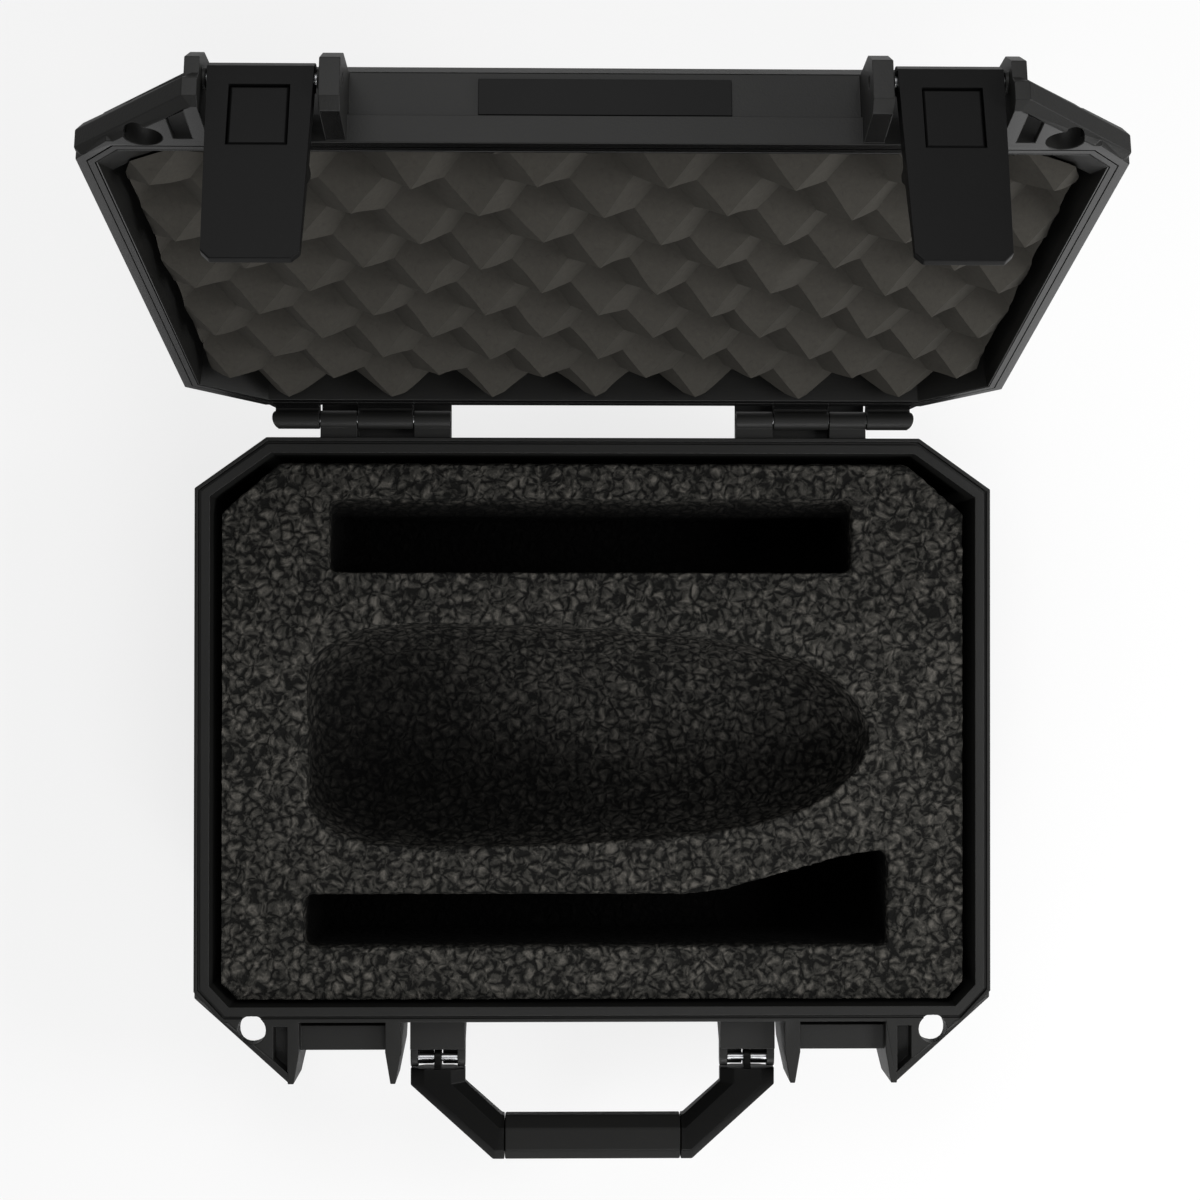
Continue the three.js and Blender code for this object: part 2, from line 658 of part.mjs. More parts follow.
// Floor under the pin between the cheeks, open in the middle for the handle's knuckle
function handleTrough() {
  const slot = HANDLE_KNUCKLE_WIDTH / 2 + RUNNING_GAP;
  const low = HANDLE_Z - KNUCKLE_RADIUS;
  const high = HANDLE_Z - PIN_BORE;
  const round = rodAlongX(KNUCKLE_RADIUS, ARM_INNER_X, ARM_OUTER_X, HANDLE_Y, HANDLE_Z);
  const root = block(ARM_INNER_X, ARM_OUTER_X, HANDLE_Y, HANDLE_Y + 2 * ARM_REAR, low, HANDLE_Z);
  const above = block(
    ARM_INNER_X - OVERRUN, ARM_OUTER_X + OVERRUN,
    HANDLE_Y - OVERRUN, HANDLE_Y + 2 * ARM_REAR + OVERRUN,
    high, HANDLE_Z + OVERRUN,
  );
  const gap = block(
    ARM_CENTRE_X - slot, ARM_CENTRE_X + slot,
    HANDLE_Y - OVERRUN, HANDLE_Y + ARM_REAR,
    low - OVERRUN, HANDLE_Z + OVERRUN,
  );
  return round.add(root).subtract(above).subtract(gap);
}

function tubShell() {
  const pieces = [tubWalls()];
  const grooveEnd = RIM_GROOVE_IN + RIM_GROOVE_WIDTH;
  const cuts = [rimRing(RIM_GROOVE_IN, grooveEnd, -RIM_GROOVE_DEPTH, OVERRUN)];
  for (const side of [-1, 1]) {
    pieces.push(onSide(side, tubRib(INNER_RIB_X, INNER_RIB_THICKNESS)));
    pieces.push(onSide(side, tubRib(OUTER_RIB_X, OUTER_RIB_THICKNESS)));
    pieces.push(onSide(side, latchBar()));
    pieces.push(onSide(side, gusset(-RIM_STEP, -GUSSET_HEIGHT)));
    pieces.push(onSide(side, handleBracket()));
    pieces.push(onSide(side, hingeShelf()));
    pieces.push(onSide(side, tubHingeArm(HINGE_INNER_X, HINGE_MIDDLE_X)));
    pieces.push(onSide(side, tubHingeArm(HINGE_OUTER_X, HINGE_OUTER_X + HINGE_KNUCKLE)));
    for (let i = 0; i < STIFFENER_COUNT_SIDE; i += 1) {
      const y = (i - (STIFFENER_COUNT_SIDE - 1) / 2) * STIFFENER_PITCH;
      pieces.push(onSide(side, sideStiffener(y)));
    }
    pieces.push(onSide(side, backStiffener(BACK_STIFFENER_PITCH / 2)));
    cuts.push(onSide(side, padlockHole()));
    cuts.push(onSide(side, hingeBore()));
    cuts.push(onSide(side, gussetPocket(-GUSSET_HEIGHT + GUSSET_FLOOR, OVERRUN)));
    cuts.push(onSide(side, ribTaper(INNER_RIB_X, 1)));
    cuts.push(onSide(side, ribTaper(INNER_RIB_X + INNER_RIB_THICKNESS, -1)));
    cuts.push(onSide(side, ribTaper(OUTER_RIB_X, 1)));
  }
  return joined(pieces).subtract(joined(cuts));
}

// Lid
function lidWalls() {
  const panel = LID_CHAMFER + FLANGE_OVERHANG + CROWN_PANEL_IN;
  const rings = [
    [crownSize, panel + CROWN_PANEL_RISE, LID_HEIGHT],
    [crownSize, panel, LID_HEIGHT - CROWN_PANEL_RISE],
    [crownSize, FLANGE_OVERHANG + LID_CHAMFER, LID_HEIGHT - CROWN_PANEL_RISE],
    [crownSize, FLANGE_OVERHANG, LID_HEIGHT - LID_CHAMFER],
    [crownSize, FLANGE_OVERHANG, LID_BAND_HEIGHT],
    [rimSize, 0, LID_BAND_HEIGHT],
    [rimSize, 0, RUNNING_GAP],
    [rimSize, RIM_BAND, RUNNING_GAP],
    [crownSize, RIM_BAND + LID_INNER_DRAFT, LID_BAND_HEIGHT - LID_CROWN],
    [crownSize, RIM_BAND + LID_INNER_DRAFT, LID_HEIGHT - LID_CROWN],
  ];
  return loft(rings.map(([size, inset, z]) => outlineRing(size, inset, z)), false);
}

function lidRib(fromX, thickness) {
  const root = WALL_FRONT + FLANGE_OVERHANG / 2;
  const tip = FRONT - LID_RIB_REACH;
  const bottom = RUNNING_GAP + RIB_TOP_GAP;
  return alongX([
    [root, bottom],
    [tip + LID_RIB_CORNER, bottom],
    [tip, bottom + LID_RIB_CORNER],
    [tip, LID_RIB_FACE],
    [FRONT - LID_RIB_SHOULDER_REACH, LID_RIB_SHOULDER],
    [root, LID_HEIGHT - LID_CHAMFER],
  ], fromX, fromX + thickness);
}

// Collars on the ribs that keep the latch in the middle and cover its pin
function latchCollars() {
  const reach = LATCH_SIDE_CLEARANCE - RUNNING_GAP;
  const radius = PIN_BORE + LATCH_COLLAR_WALL;
  const innerX = BAY_INNER_X - RUNNING_GAP;
  const outerX = OUTER_RIB_X + RUNNING_GAP;
  const inner = rodAlongX(radius, innerX, BAY_INNER_X + reach, LATCH_PIVOT_Y, LATCH_PIVOT_Z);
  return inner.add(rodAlongX(radius, OUTER_RIB_X - reach, outerX, LATCH_PIVOT_Y, LATCH_PIVOT_Z));
}

function lidShell() {
  const pieces = [lidWalls()];
  const grooveTop = RUNNING_GAP + GASKET_HEIGHT + FIT_GAP;
  const grooveInner = GASKET_IN + GASKET_WIDTH + FIT_GAP;
  const cuts = [rimRing(GASKET_IN - FIT_GAP, grooveInner, RUNNING_GAP - OVERRUN, grooveTop)];
  for (const side of [-1, 1]) {
    pieces.push(onSide(side, lidRib(INNER_RIB_X, INNER_RIB_THICKNESS)));
    pieces.push(onSide(side, lidRib(OUTER_RIB_X, OUTER_RIB_THICKNESS)));
    pieces.push(onSide(side, latchCollars()));
    pieces.push(onSide(side, gusset(RUNNING_GAP, RUNNING_GAP + GUSSET_HEIGHT)));
    pieces.push(onSide(side, lidHingeArm(HINGE_MIDDLE_X + RUNNING_GAP, HINGE_OUTER_X - RUNNING_GAP)));
    pieces.push(onSide(side, lidHingeEar()));
    cuts.push(onSide(side, padlockHole()));
    cuts.push(onSide(side, hingeBore()));
    const bore = rodAlongX(
      PIN_BORE,
      INNER_RIB_X - OVERRUN,
      OUTER_RIB_X + OUTER_RIB_THICKNESS + OVERRUN,
      LATCH_PIVOT_Y,
      LATCH_PIVOT_Z,
    );
    cuts.push(onSide(side, bore));
    cuts.push(onSide(side, gussetPocket(RUNNING_GAP - OVERRUN, RUNNING_GAP + GUSSET_HEIGHT - GUSSET_FLOOR)));
    cuts.push(onSide(side, gussetHollow()));
  }
  return joined(pieces).subtract(joined(cuts));
}

function lidGasket() {
  return rimRing(GASKET_IN, GASKET_IN + GASKET_WIDTH, RUNNING_GAP, RUNNING_GAP + GASKET_HEIGHT);
}

function namePlate() {
  const outer = WALL_FRONT - FIT_GAP;
  const low = LID_BAND_HEIGHT + PLATE_LIFT;
  const half = PLATE_WIDTH / 2;
  return block(-half, half, outer - PLATE_THICKNESS, outer, low, low + PLATE_HEIGHT);
}

// Latch body, drawn latched
function latchBody() {
  const hookTop = -BAR_TOP - BAR_HEIGHT - RUNNING_GAP;
  const hookY = BAR_FRONT_Y + HOOK_DEPTH;
  const tipInnerY = LATCH_OUTER_Y + LATCH_TIP_THICKNESS;
  const top = LATCH_PIVOT_Z + LATCH_TOP;
  const side = alongX([
    [LATCH_OUTER_Y, LATCH_TIP_Z],
    [tipInnerY, LATCH_TIP_Z],
    [LATCH_INNER_Y - RUNNING_GAP, hookTop - HOOK_HEIGHT - HOOK_SLOPE],
    [hookY, hookTop - HOOK_HEIGHT],
    [hookY, hookTop],
    [LATCH_INNER_Y, hookTop],
    [LATCH_INNER_Y, top - LATCH_TOP_CHAMFER],
    [LATCH_INNER_Y, top],
    [LATCH_OUTER_Y + LATCH_TOP_CHAMFER, top],
    [LATCH_OUTER_Y, top - LATCH_TOP_CHAMFER],
  ], LATCH_CENTRE_X - LATCH_HALF_WIDTH, LATCH_CENTRE_X + LATCH_HALF_WIDTH);
  const tipHalf = LATCH_HALF_WIDTH - LATCH_TAPER;
  const front = alongY([
    [LATCH_CENTRE_X - tipHalf + LATCH_CORNER, LATCH_TIP_Z],
    [LATCH_CENTRE_X + tipHalf - LATCH_CORNER, LATCH_TIP_Z],
    [LATCH_CENTRE_X + tipHalf, LATCH_TIP_Z + LATCH_CORNER],
    [LATCH_CENTRE_X + LATCH_HALF_WIDTH, top + OVERRUN],
    [LATCH_CENTRE_X - LATCH_HALF_WIDTH, top + OVERRUN],
    [LATCH_CENTRE_X - tipHalf, LATCH_TIP_Z + LATCH_CORNER],
  ], LATCH_OUTER_Y - OVERRUN, BAR_FRONT_Y + HOOK_DEPTH + OVERRUN);
  const fromX = LATCH_CENTRE_X - LATCH_HALF_WIDTH;
  const toX = LATCH_CENTRE_X + LATCH_HALF_WIDTH;
  const [bossFrom, bossTo] = [fromX + RUNNING_GAP, toX - RUNNING_GAP];
  const boss = rodAlongX(LATCH_BOSS_RADIUS, bossFrom, bossTo, LATCH_PIVOT_Y, LATCH_PIVOT_Z);
  const bore = rodAlongX(PIN_BORE, fromX - OVERRUN, toX + OVERRUN, LATCH_PIVOT_Y, LATCH_PIVOT_Z);
  const halfWindow = BUTTON_WIDTH / 2 + FIT_GAP;
  const window = block(
    LATCH_CENTRE_X - halfWindow, LATCH_CENTRE_X + halfWindow,
    LATCH_OUTER_Y - OVERRUN, BUTTON_POCKET_Y,
    BUTTON_CENTRE_Z - BUTTON_HEIGHT / 2 - FIT_GAP, BUTTON_CENTRE_Z + BUTTON_HEIGHT / 2 + FIT_GAP,
  );
  return side.intersect(front).add(boss).subtract(bore).subtract(window);
}

// Push button set in the latch, with a bore behind for its spring
function latchButton() {
  const halfWidth = BUTTON_WIDTH / 2;
  const halfHeight = BUTTON_HEIGHT / 2;
  const ring = (inset, y) => [
    [LATCH_CENTRE_X - halfWidth + inset, y, BUTTON_CENTRE_Z - halfHeight + inset],
    [LATCH_CENTRE_X + halfWidth - inset, y, BUTTON_CENTRE_Z - halfHeight + inset],
    [LATCH_CENTRE_X + halfWidth - inset, y, BUTTON_CENTRE_Z + halfHeight - inset],
    [LATCH_CENTRE_X - halfWidth + inset, y, BUTTON_CENTRE_Z + halfHeight - inset],
  ];
  const plate = loft([
    ring(BUTTON_CHAMFER, BUTTON_OUTER_Y),
    ring(0, BUTTON_OUTER_Y + BUTTON_CHAMFER),
    ring(0, BUTTON_INNER_Y),
  ], false);
  return plate.subtract(springRod(SPRING_RADIUS + FIT_GAP, SPRING_BORE_Y, BUTTON_INNER_Y + OVERRUN));
}

function springRod(radius, fromY, toY) {
  const geometry = new THREE.CylinderGeometry(radius, radius, toY - fromY, ROUND_SEGMENTS);
  geometry.translate(LATCH_CENTRE_X, (fromY + toY) / 2, BUTTON_CENTRE_Z);
  return solid(geometry);
}

// Spring of the button, as a plain ring at its pressed length on the floor of the pocket
function latchSpring() {
  const fromY = SPRING_SEAT_Y - SPRING_PRESSED;
  const ring = springRod(SPRING_RADIUS, fromY, SPRING_SEAT_Y);
  return ring.subtract(springRod(SPRING_RADIUS - SPRING_WIRE, fromY - OVERRUN, SPRING_SEAT_Y + OVERRUN));
}

// Handle
function facetedSection(inner, outer, thickness) {
  const across = GRIP_CHAMFER / (GRIP_OUTER_REACH - GRIP_INNER_REACH);
  const up = thickness / 2;
  const side = up - (thickness * GRIP_CHAMFER) / GRIP_THICKNESS;
  const along = (share) => [0, 1].map((axis) => inner[axis] + (outer[axis] - inner[axis]) * share);
  const rows = [[0, -side], [across, -up], [1 - across, -up], [1, -side]];
  const lower = rows.map(([share, z]) => [...along(share), HANDLE_Z + z]);
  const upper = rows.map(([share, z]) => [...along(share), HANDLE_Z - z]);
  return [...lower, ...upper.reverse()];
}

function handleArm() {
  const rear = HANDLE_Y - ARM_REAR;
  const near = HANDLE_Y - GRIP_INNER_REACH;
  const far = HANDLE_Y - GRIP_OUTER_REACH;
  const endX = GRIP_HALF + FIT_GAP;
  const arm = loft([
    facetedSection([ARM_INNER_X, rear], [ARM_OUTER_X, rear], ARM_THICKNESS),
    facetedSection(
      [ARM_INNER_X, HANDLE_Y - ARM_STRAIGHT_IN], [ARM_OUTER_X, HANDLE_Y - ARM_STRAIGHT_OUT], ARM_THICKNESS,
    ),
    facetedSection([GRIP_HALF + GRIP_ELBOW_INSIDE, near], [GRIP_HALF + GRIP_ELBOW, far], GRIP_THICKNESS),
    facetedSection([endX, near], [endX, far], GRIP_THICKNESS),
  ], false);
  const halfKnuckle = HANDLE_KNUCKLE_WIDTH / 2;
  const [fromX, toX] = [ARM_CENTRE_X - halfKnuckle, ARM_CENTRE_X + halfKnuckle];
  const web = block(
    fromX, toX,
    rear - ARM_REAR, HANDLE_Y,
    HANDLE_Z - KNUCKLE_RADIUS, HANDLE_Z + KNUCKLE_RADIUS,
  );
  const eye = rodAlongX(KNUCKLE_RADIUS, fromX, toX, HANDLE_Y, HANDLE_Z);
  const bore = rodAlongX(PIN_BORE, ARM_INNER_X, ARM_OUTER_X, HANDLE_Y, HANDLE_Z);
  return joined([arm, web, eye]).subtract(bore);
}

function handleCore() {
  const middle = HANDLE_Y - (GRIP_INNER_REACH + GRIP_OUTER_REACH) / 2;
  const reach = GRIP_HALF + GRIP_ELBOW;
  const crossbar = block(
    -reach, reach,
    middle - CROSSBAR_DEPTH / 2, middle + CROSSBAR_DEPTH / 2,
    HANDLE_Z - CROSSBAR_THICKNESS / 2, HANDLE_Z + CROSSBAR_THICKNESS / 2,
  );
  return joined([crossbar, handleArm(), handleArm().mirror([1, 0, 0])]);
}

// Moulded grip, a sleeve with cut edges round the crossbar
function handleGrip() {
  const near = HANDLE_Y - GRIP_INNER_REACH;
  const far = HANDLE_Y - GRIP_OUTER_REACH;
  const top = HANDLE_Z + GRIP_THICKNESS / 2;
  const bottom = HANDLE_Z - GRIP_THICKNESS / 2;
  const sleeve = alongX([
    [near, bottom + GRIP_CHAMFER],
    [near, top - GRIP_CHAMFER],
    [near - GRIP_CHAMFER, top],
    [far + GRIP_CHAMFER, top],
    [far, top - GRIP_CHAMFER],
    [far, bottom + GRIP_CHAMFER],
    [far + GRIP_CHAMFER, bottom],
    [near - GRIP_CHAMFER, bottom],
  ], -GRIP_HALF, GRIP_HALF);
  const middle = (near + far) / 2;
  const halfDepth = CROSSBAR_DEPTH / 2 + FIT_GAP;
  const halfHeight = CROSSBAR_THICKNESS / 2 + FIT_GAP;
  return sleeve.subtract(block(
    -GRIP_HALF - OVERRUN, GRIP_HALF + OVERRUN,
    middle - halfDepth, middle + halfDepth,
    HANDLE_Z - halfHeight, HANDLE_Z + halfHeight,
  ));
}

// Foam in the tub
const foamSize = {
  halfWidth: HALF_WIDTH - RIM_BAND - FOAM_SIDE_GAP,
  back: BACK - RIM_BAND - FOAM_BACK_GAP,
  front: FRONT + RIM_BAND + FOAM_FRONT_GAP,
  backCutX: FOAM_BACK_CUT_X,
  backCutY: FOAM_BACK_CUT_Y,
  frontCutX: FOAM_FRONT_CUT,
  frontCutY: FOAM_FRONT_CUT,
};
const FOAM_TOP = -FOAM_TOP_DROP;
const FOAM_FLOOR_BOTTOM = -TUB_HEIGHT + TUB_FLOOR + FIT_GAP;
const FOAM_FLOOR_TOP = FOAM_FLOOR_BOTTOM + FOAM_FLOOR_HEIGHT;

function foamFloor() {
  return loftInsets(foamSize, [[FOAM_DRAFT, FOAM_FLOOR_BOTTOM], [FOAM_DRAFT, FOAM_FLOOR_TOP]], false);
}

// Half-round cradle for the camera, from rings across its length
function cradleCut() {
  const length = CRADLE_RIGHT - CRADLE_LEFT;
  const rings = CRADLE_SHARES.map(([placeShare, widthShare, depthShare]) => {
    const x = CRADLE_LEFT + length * placeShare;
    const halfWidth = CRADLE_HALF_WIDTH * widthShare;
    const ring = [];
    for (let i = 0; i <= CRADLE_ARC_STEPS; i += 1) {
      const angle = (Math.PI * i) / CRADLE_ARC_STEPS;
      const y = CRADLE_CENTRE_Y + halfWidth * Math.cos(angle);
      ring.push([x, y, FOAM_TOP - CRADLE_DEPTH * depthShare * Math.sin(angle)]);
    }
    ring.push([x, CRADLE_CENTRE_Y - halfWidth, FOAM_TOP + OVERRUN]);
    ring.push([x, CRADLE_CENTRE_Y + halfWidth, FOAM_TOP + OVERRUN]);
    return ring;
  });
  return loft(rings, false);
}

function backSlotCut() {
  const floor = FOAM_TOP - POCKET_DEPTH;
  const slope = BACK_SLOT_LIP / BACK_SLOT_LIP_DEPTH;
  return alongX([
    [BACK_SLOT_FRONT, floor],
    [BACK_SLOT_BACK, floor],
    [BACK_SLOT_BACK, FOAM_TOP - BACK_SLOT_LIP_DEPTH],
    [BACK_SLOT_BACK + BACK_SLOT_LIP + slope * OVERRUN, FOAM_TOP + OVERRUN],
    [BACK_SLOT_FRONT, FOAM_TOP + OVERRUN],
  ], BACK_SLOT_LEFT, BACK_SLOT_RIGHT);
}

function frontSlotCut() {
  const flareLength = FRONT_SLOT_RIGHT - FRONT_SLOT_FLARE_X;
  const flare = FLARE_SHARES.map(([alongShare, outShare]) => [
    FRONT_SLOT_FLARE_X + flareLength * alongShare,
    FRONT_SLOT_BACK + FRONT_SLOT_FLARE * outShare,
  ]);
  return alongZ([
    [FRONT_SLOT_LEFT, FRONT_SLOT_BACK],
    [FRONT_SLOT_LEFT, FRONT_SLOT_FRONT],
    [FRONT_SLOT_RIGHT, FRONT_SLOT_FRONT],
    ...flare.reverse(),
  ], FOAM_TOP - POCKET_DEPTH, FOAM_TOP + OVERRUN);
}

function foamBlock() {
  const body = loftInsets(foamSize, [[FOAM_DRAFT, FOAM_FLOOR_TOP + FIT_GAP], [0, FOAM_TOP]], false);
  return body.subtract(joined([cradleCut(), backSlotCut(), frontSlotCut()]));
}

// Egg-crate foam: pyramids and pits by turns, over a flat back. A lattice of quarter
// pitches has a peak or pit at every second corner, with straight ridges between peaks.
function crateFoam() {
  const inset = RIM_BAND + LID_INNER_DRAFT;
  const [rim, crown] = [rimSize, crownSize].map((size) => ({
    ...size,
    halfWidth: HALF_WIDTH - CRATE_SIDE_GAP,
    back: BACK - CRATE_BACK_GAP,
    front: FRONT + CRATE_FRONT_GAP,
  }));
  const peakZ = -CRATE_PEAK_DROP;
  const backZ = LID_HEIGHT - LID_CROWN - FIT_GAP;
  const half = CRATE_PEAK_HEIGHT / 2;
  const stepX = CRATE_PITCH_X / CRATE_STEPS;
  const stepY = CRATE_PITCH_Y / CRATE_STEPS;
  const peakRowY = HINGE_Y - CRATE_ROW_FROM_HINGE;
  const right = Math.ceil((rim.halfWidth - inset) / stepX);
  const low = Math.floor((rim.front + inset - peakRowY) / stepY);
  const high = Math.ceil((rim.back - inset - peakRowY) / stepY);
  const wave = (step) => Math.cos((2 * Math.PI * step) / CRATE_STEPS);
  const positions = [];
  const index = [];
  for (const raised of [true, false]) {
    for (let j = low; j <= high; j += 1) {
      for (let i = -right; i <= right; i += 1) {
        const z = raised ? peakZ + half - half * wave(i) * wave(j) : backZ + OVERRUN;
        positions.push(i * stepX, peakRowY + j * stepY, z);
      }
    }
  }
  const wide = 2 * right + 1;
  const at = (i, j, level) => (level * (high - low + 1) + j - low) * wide + i + right;
  const quad = (a, b, c, d) => index.push(a, b, c, a, c, d);
  for (let j = low; j < high; j += 1) {
    for (let i = -right; i < right; i += 1) {
      const corners = [at(i, j, 0), at(i, j + 1, 0), at(i + 1, j + 1, 0), at(i + 1, j, 0)];
      if ((i - j) % 2) corners.push(corners.shift());
      quad(...corners);
      quad(at(i, j, 1), at(i + 1, j, 1), at(i + 1, j + 1, 1), at(i, j + 1, 1));
    }
    quad(at(-right, j, 0), at(-right, j, 1), at(-right, j + 1, 1), at(-right, j + 1, 0));
    quad(at(right, j, 0), at(right, j + 1, 0), at(right, j + 1, 1), at(right, j, 1));
  }
  for (let i = -right; i < right; i += 1) {
    quad(at(i, low, 0), at(i + 1, low, 0), at(i + 1, low, 1), at(i, low, 1));
    quad(at(i, high, 0), at(i, high, 1), at(i + 1, high, 1), at(i + 1, high, 0));
  }
  const geometry = new THREE.BufferGeometry();
  geometry.setAttribute('position', new THREE.BufferAttribute(new Float32Array(positions), 3));
  geometry.setIndex(index);
  const room = loft([
    outlineRing(rim, inset, peakZ - OVERRUN),
    outlineRing(rim, inset, RUNNING_GAP),
    outlineRing(crown, inset, LID_BAND_HEIGHT - LID_CROWN),
    outlineRing(crown, inset, backZ),
  ], false);
  return solid(geometry).intersect(room);
}

// Pins
function pinAlongX(fromX, toX, y, z) {
  return rodAlongX(PIN_RADIUS, fromX + PIN_RECESS, toX - PIN_RECESS, y, z);
}

const part = new THREE.Group();
const caseGroup = new THREE.Group();
caseGroup.position.set(0, 0, TUB_HEIGHT);
part.add(caseGroup);

// A group that turns what it holds about a line along X, leaving coordinates as drawn
function turned(parent, y, z, angle) {
  const pivot = new THREE.Group();
  pivot.position.set(0, y, z);
  pivot.rotation.x = angle;
  const held = new THREE.Group();
  held.position.set(0, -y, -z);
  pivot.add(held);
  parent.add(pivot);
  return held;
}

function place(parent, name, body, material) {
  const mesh = new THREE.Mesh(geometryOf(body), material);
  mesh.name = name;
  parent.add(mesh);
}

const SIDES = [['left', -1], ['right', 1]];
const lidGroup = turned(caseGroup, HINGE_Y, HINGE_Z, -THREE.MathUtils.degToRad(LID_OPEN_DEGREES));
const latchTilt = -THREE.MathUtils.degToRad(LATCH_REST_DEGREES);
const latchGroup = turned(lidGroup, LATCH_PIVOT_Y, LATCH_PIVOT_Z, latchTilt);

place(caseGroup, 'base_shell', tubShell(), shellMaterial);
place(caseGroup, 'base_foam_floor', foamFloor(), foamMaterial);
place(caseGroup, 'base_foam_block', foamBlock(), foamMaterial);
place(caseGroup, 'handle_core', handleCore(), shellMaterial);
place(caseGroup, 'handle_grip', handleGrip(), rubberMaterial);
place(lidGroup, 'lid_shell', lidShell(), shellMaterial);
place(lidGroup, 'lid_foam', crateFoam(), crateMaterial);
place(lidGroup, 'lid_gasket', lidGasket(), rubberMaterial);
place(lidGroup, 'lid_plate', namePlate(), latchMaterial);

const hingePin = pinAlongX(HINGE_INNER_X, HINGE_END_X, HINGE_Y, HINGE_Z);
const handlePin = pinAlongX(ARM_INNER_X + PIN_RECESS + FIT_GAP, ARM_OUTER_X, HANDLE_Y, HANDLE_Z);
const latchPin = pinAlongX(INNER_RIB_X, OUTER_RIB_X + OUTER_RIB_THICKNESS, LATCH_PIVOT_Y, LATCH_PIVOT_Z);
for (const [name, side] of SIDES) {
  place(caseGroup, `hinge_pin_${name}`, onSide(side, hingePin), steelMaterial);
  place(caseGroup, `handle_pin_${name}`, onSide(side, handlePin), steelMaterial);
  place(lidGroup, `latch_pin_${name}`, onSide(side, latchPin), steelMaterial);
  place(latchGroup, `latch_body_${name}`, onSide(side, latchBody()), latchMaterial);
  place(latchGroup, `latch_button_${name}`, onSide(side, latchButton()), latchMaterial);
  place(latchGroup, `latch_spring_${name}`, onSide(side, latchSpring()), steelMaterial);
}

export default part;
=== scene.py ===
# %% [markdown]
# # A hard carry case in Blender
# This is a moulded carry case, photographed open from above: a tub with cut foam, a lid with
# egg-crate foam, two latches, a fold-down handle and steel pins. The engineering model gives
# every solid its size and place, so this lesson starts from it and works on what the eye sees:
# eased edges, foam that looks cut, and a finish for each material.

# %% Load the engineering model
import math

import bmesh
import bpy
from mathutils import Matrix, Vector, noise


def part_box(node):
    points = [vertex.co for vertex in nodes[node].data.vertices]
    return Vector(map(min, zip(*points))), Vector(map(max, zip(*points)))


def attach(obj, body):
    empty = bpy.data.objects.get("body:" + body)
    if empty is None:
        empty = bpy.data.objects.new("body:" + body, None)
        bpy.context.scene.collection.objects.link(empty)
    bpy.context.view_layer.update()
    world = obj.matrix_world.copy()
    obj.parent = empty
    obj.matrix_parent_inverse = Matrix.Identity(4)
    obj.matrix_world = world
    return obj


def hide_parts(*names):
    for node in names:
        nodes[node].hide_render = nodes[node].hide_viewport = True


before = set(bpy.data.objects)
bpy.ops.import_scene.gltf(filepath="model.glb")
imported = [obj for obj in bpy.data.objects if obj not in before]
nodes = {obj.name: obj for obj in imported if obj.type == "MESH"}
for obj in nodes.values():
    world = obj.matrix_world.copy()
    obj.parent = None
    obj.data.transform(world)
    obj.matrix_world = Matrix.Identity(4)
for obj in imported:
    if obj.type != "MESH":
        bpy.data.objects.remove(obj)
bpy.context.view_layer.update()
print(len(nodes), "solids loaded")

# %% [markdown]
# ## The camera
# The photograph looks almost straight down from about 1.2 m. Its camera was found by matching
# the outlines of rim, lid, latches and handle, so the numbers below are places and small tilts.
# A camera that looks along -Z with +Y up needs no turn, and the three tilts are under 1.1 degrees.

# %% Place the camera
CAMERA_PLACE = Vector((-0.0163, 0.0546, 1.193))
CAMERA_TILTS = (("Z", -0.06), ("Y", 1.03), ("X", -0.47))
FOCAL_PIXELS = 2212.7
PICTURE_PIXELS = 1200
SENSOR_WIDTH_MM = 36

world_to_camera = Matrix.Identity(3)
for axis, degrees in CAMERA_TILTS:
    world_to_camera = world_to_camera @ Matrix.Rotation(math.radians(degrees), 3, axis)

lens = bpy.data.cameras.new("photo_camera")
lens.sensor_width = SENSOR_WIDTH_MM
lens.lens = SENSOR_WIDTH_MM * FOCAL_PIXELS / PICTURE_PIXELS
camera = bpy.data.objects.new("photo_camera", lens)
camera.matrix_world = Matrix.Translation(CAMERA_PLACE) @ world_to_camera.transposed().to_4x4()
bpy.context.scene.collection.objects.link(camera)
bpy.context.scene.camera = camera
print("lens", round(lens.lens, 1), "mm")

# %% [markdown]
# ## Colours and nodes
# Colours are written as they look on a screen, and one function turns them to the linear values
# that a shader works with. One more small function adds a shader node with its settings and
# links, which keeps each material short enough to read as a recipe. Patterns get their scale
# from millimetres on the real surface, so a third one turns these into a texture's scale.

# %% Helpers for materials
def linear(hex_colour):
    """Linear red, green, blue and alpha of an sRGB colour such as #2b2b2a."""
    channels = [int(hex_colour[i:i + 2], 16) / 255 for i in (1, 3, 5)]
    return [c / 12.92 if c <= 0.04045 else ((c + 0.055) / 1.055) ** 2.4 for c in channels] + [1]


def add_node(tree, kind, inputs=None, **settings):
    """Adds a node, and fills its inputs with values or with links from other nodes."""
    made = tree.nodes.new(kind)
    for name, value in settings.items():
        setattr(made, name, value)
    for name, value in (inputs or {}).items():
        if isinstance(value, bpy.types.NodeSocket):
            tree.links.new(value, made.inputs[name])
        else:
            made.inputs[name].default_value = value
    return made


def per_metre(millimetres):
    """Texture scale for a pattern whose grain is that wide."""
    return 1000 / millimetres


def start_material(name):
    """An empty material, its node tree and its place on the real surface, in metres."""
    material = bpy.data.materials.new(name)
    material.use_nodes = True
    material.node_tree.nodes.clear()
    place = add_node(material.node_tree, "ShaderNodeTexCoord").outputs["Object"]
    return material, material.node_tree, place


print("a middle grey on screen, #808080, is", round(linear("#808080")[0], 2), "of white's light")

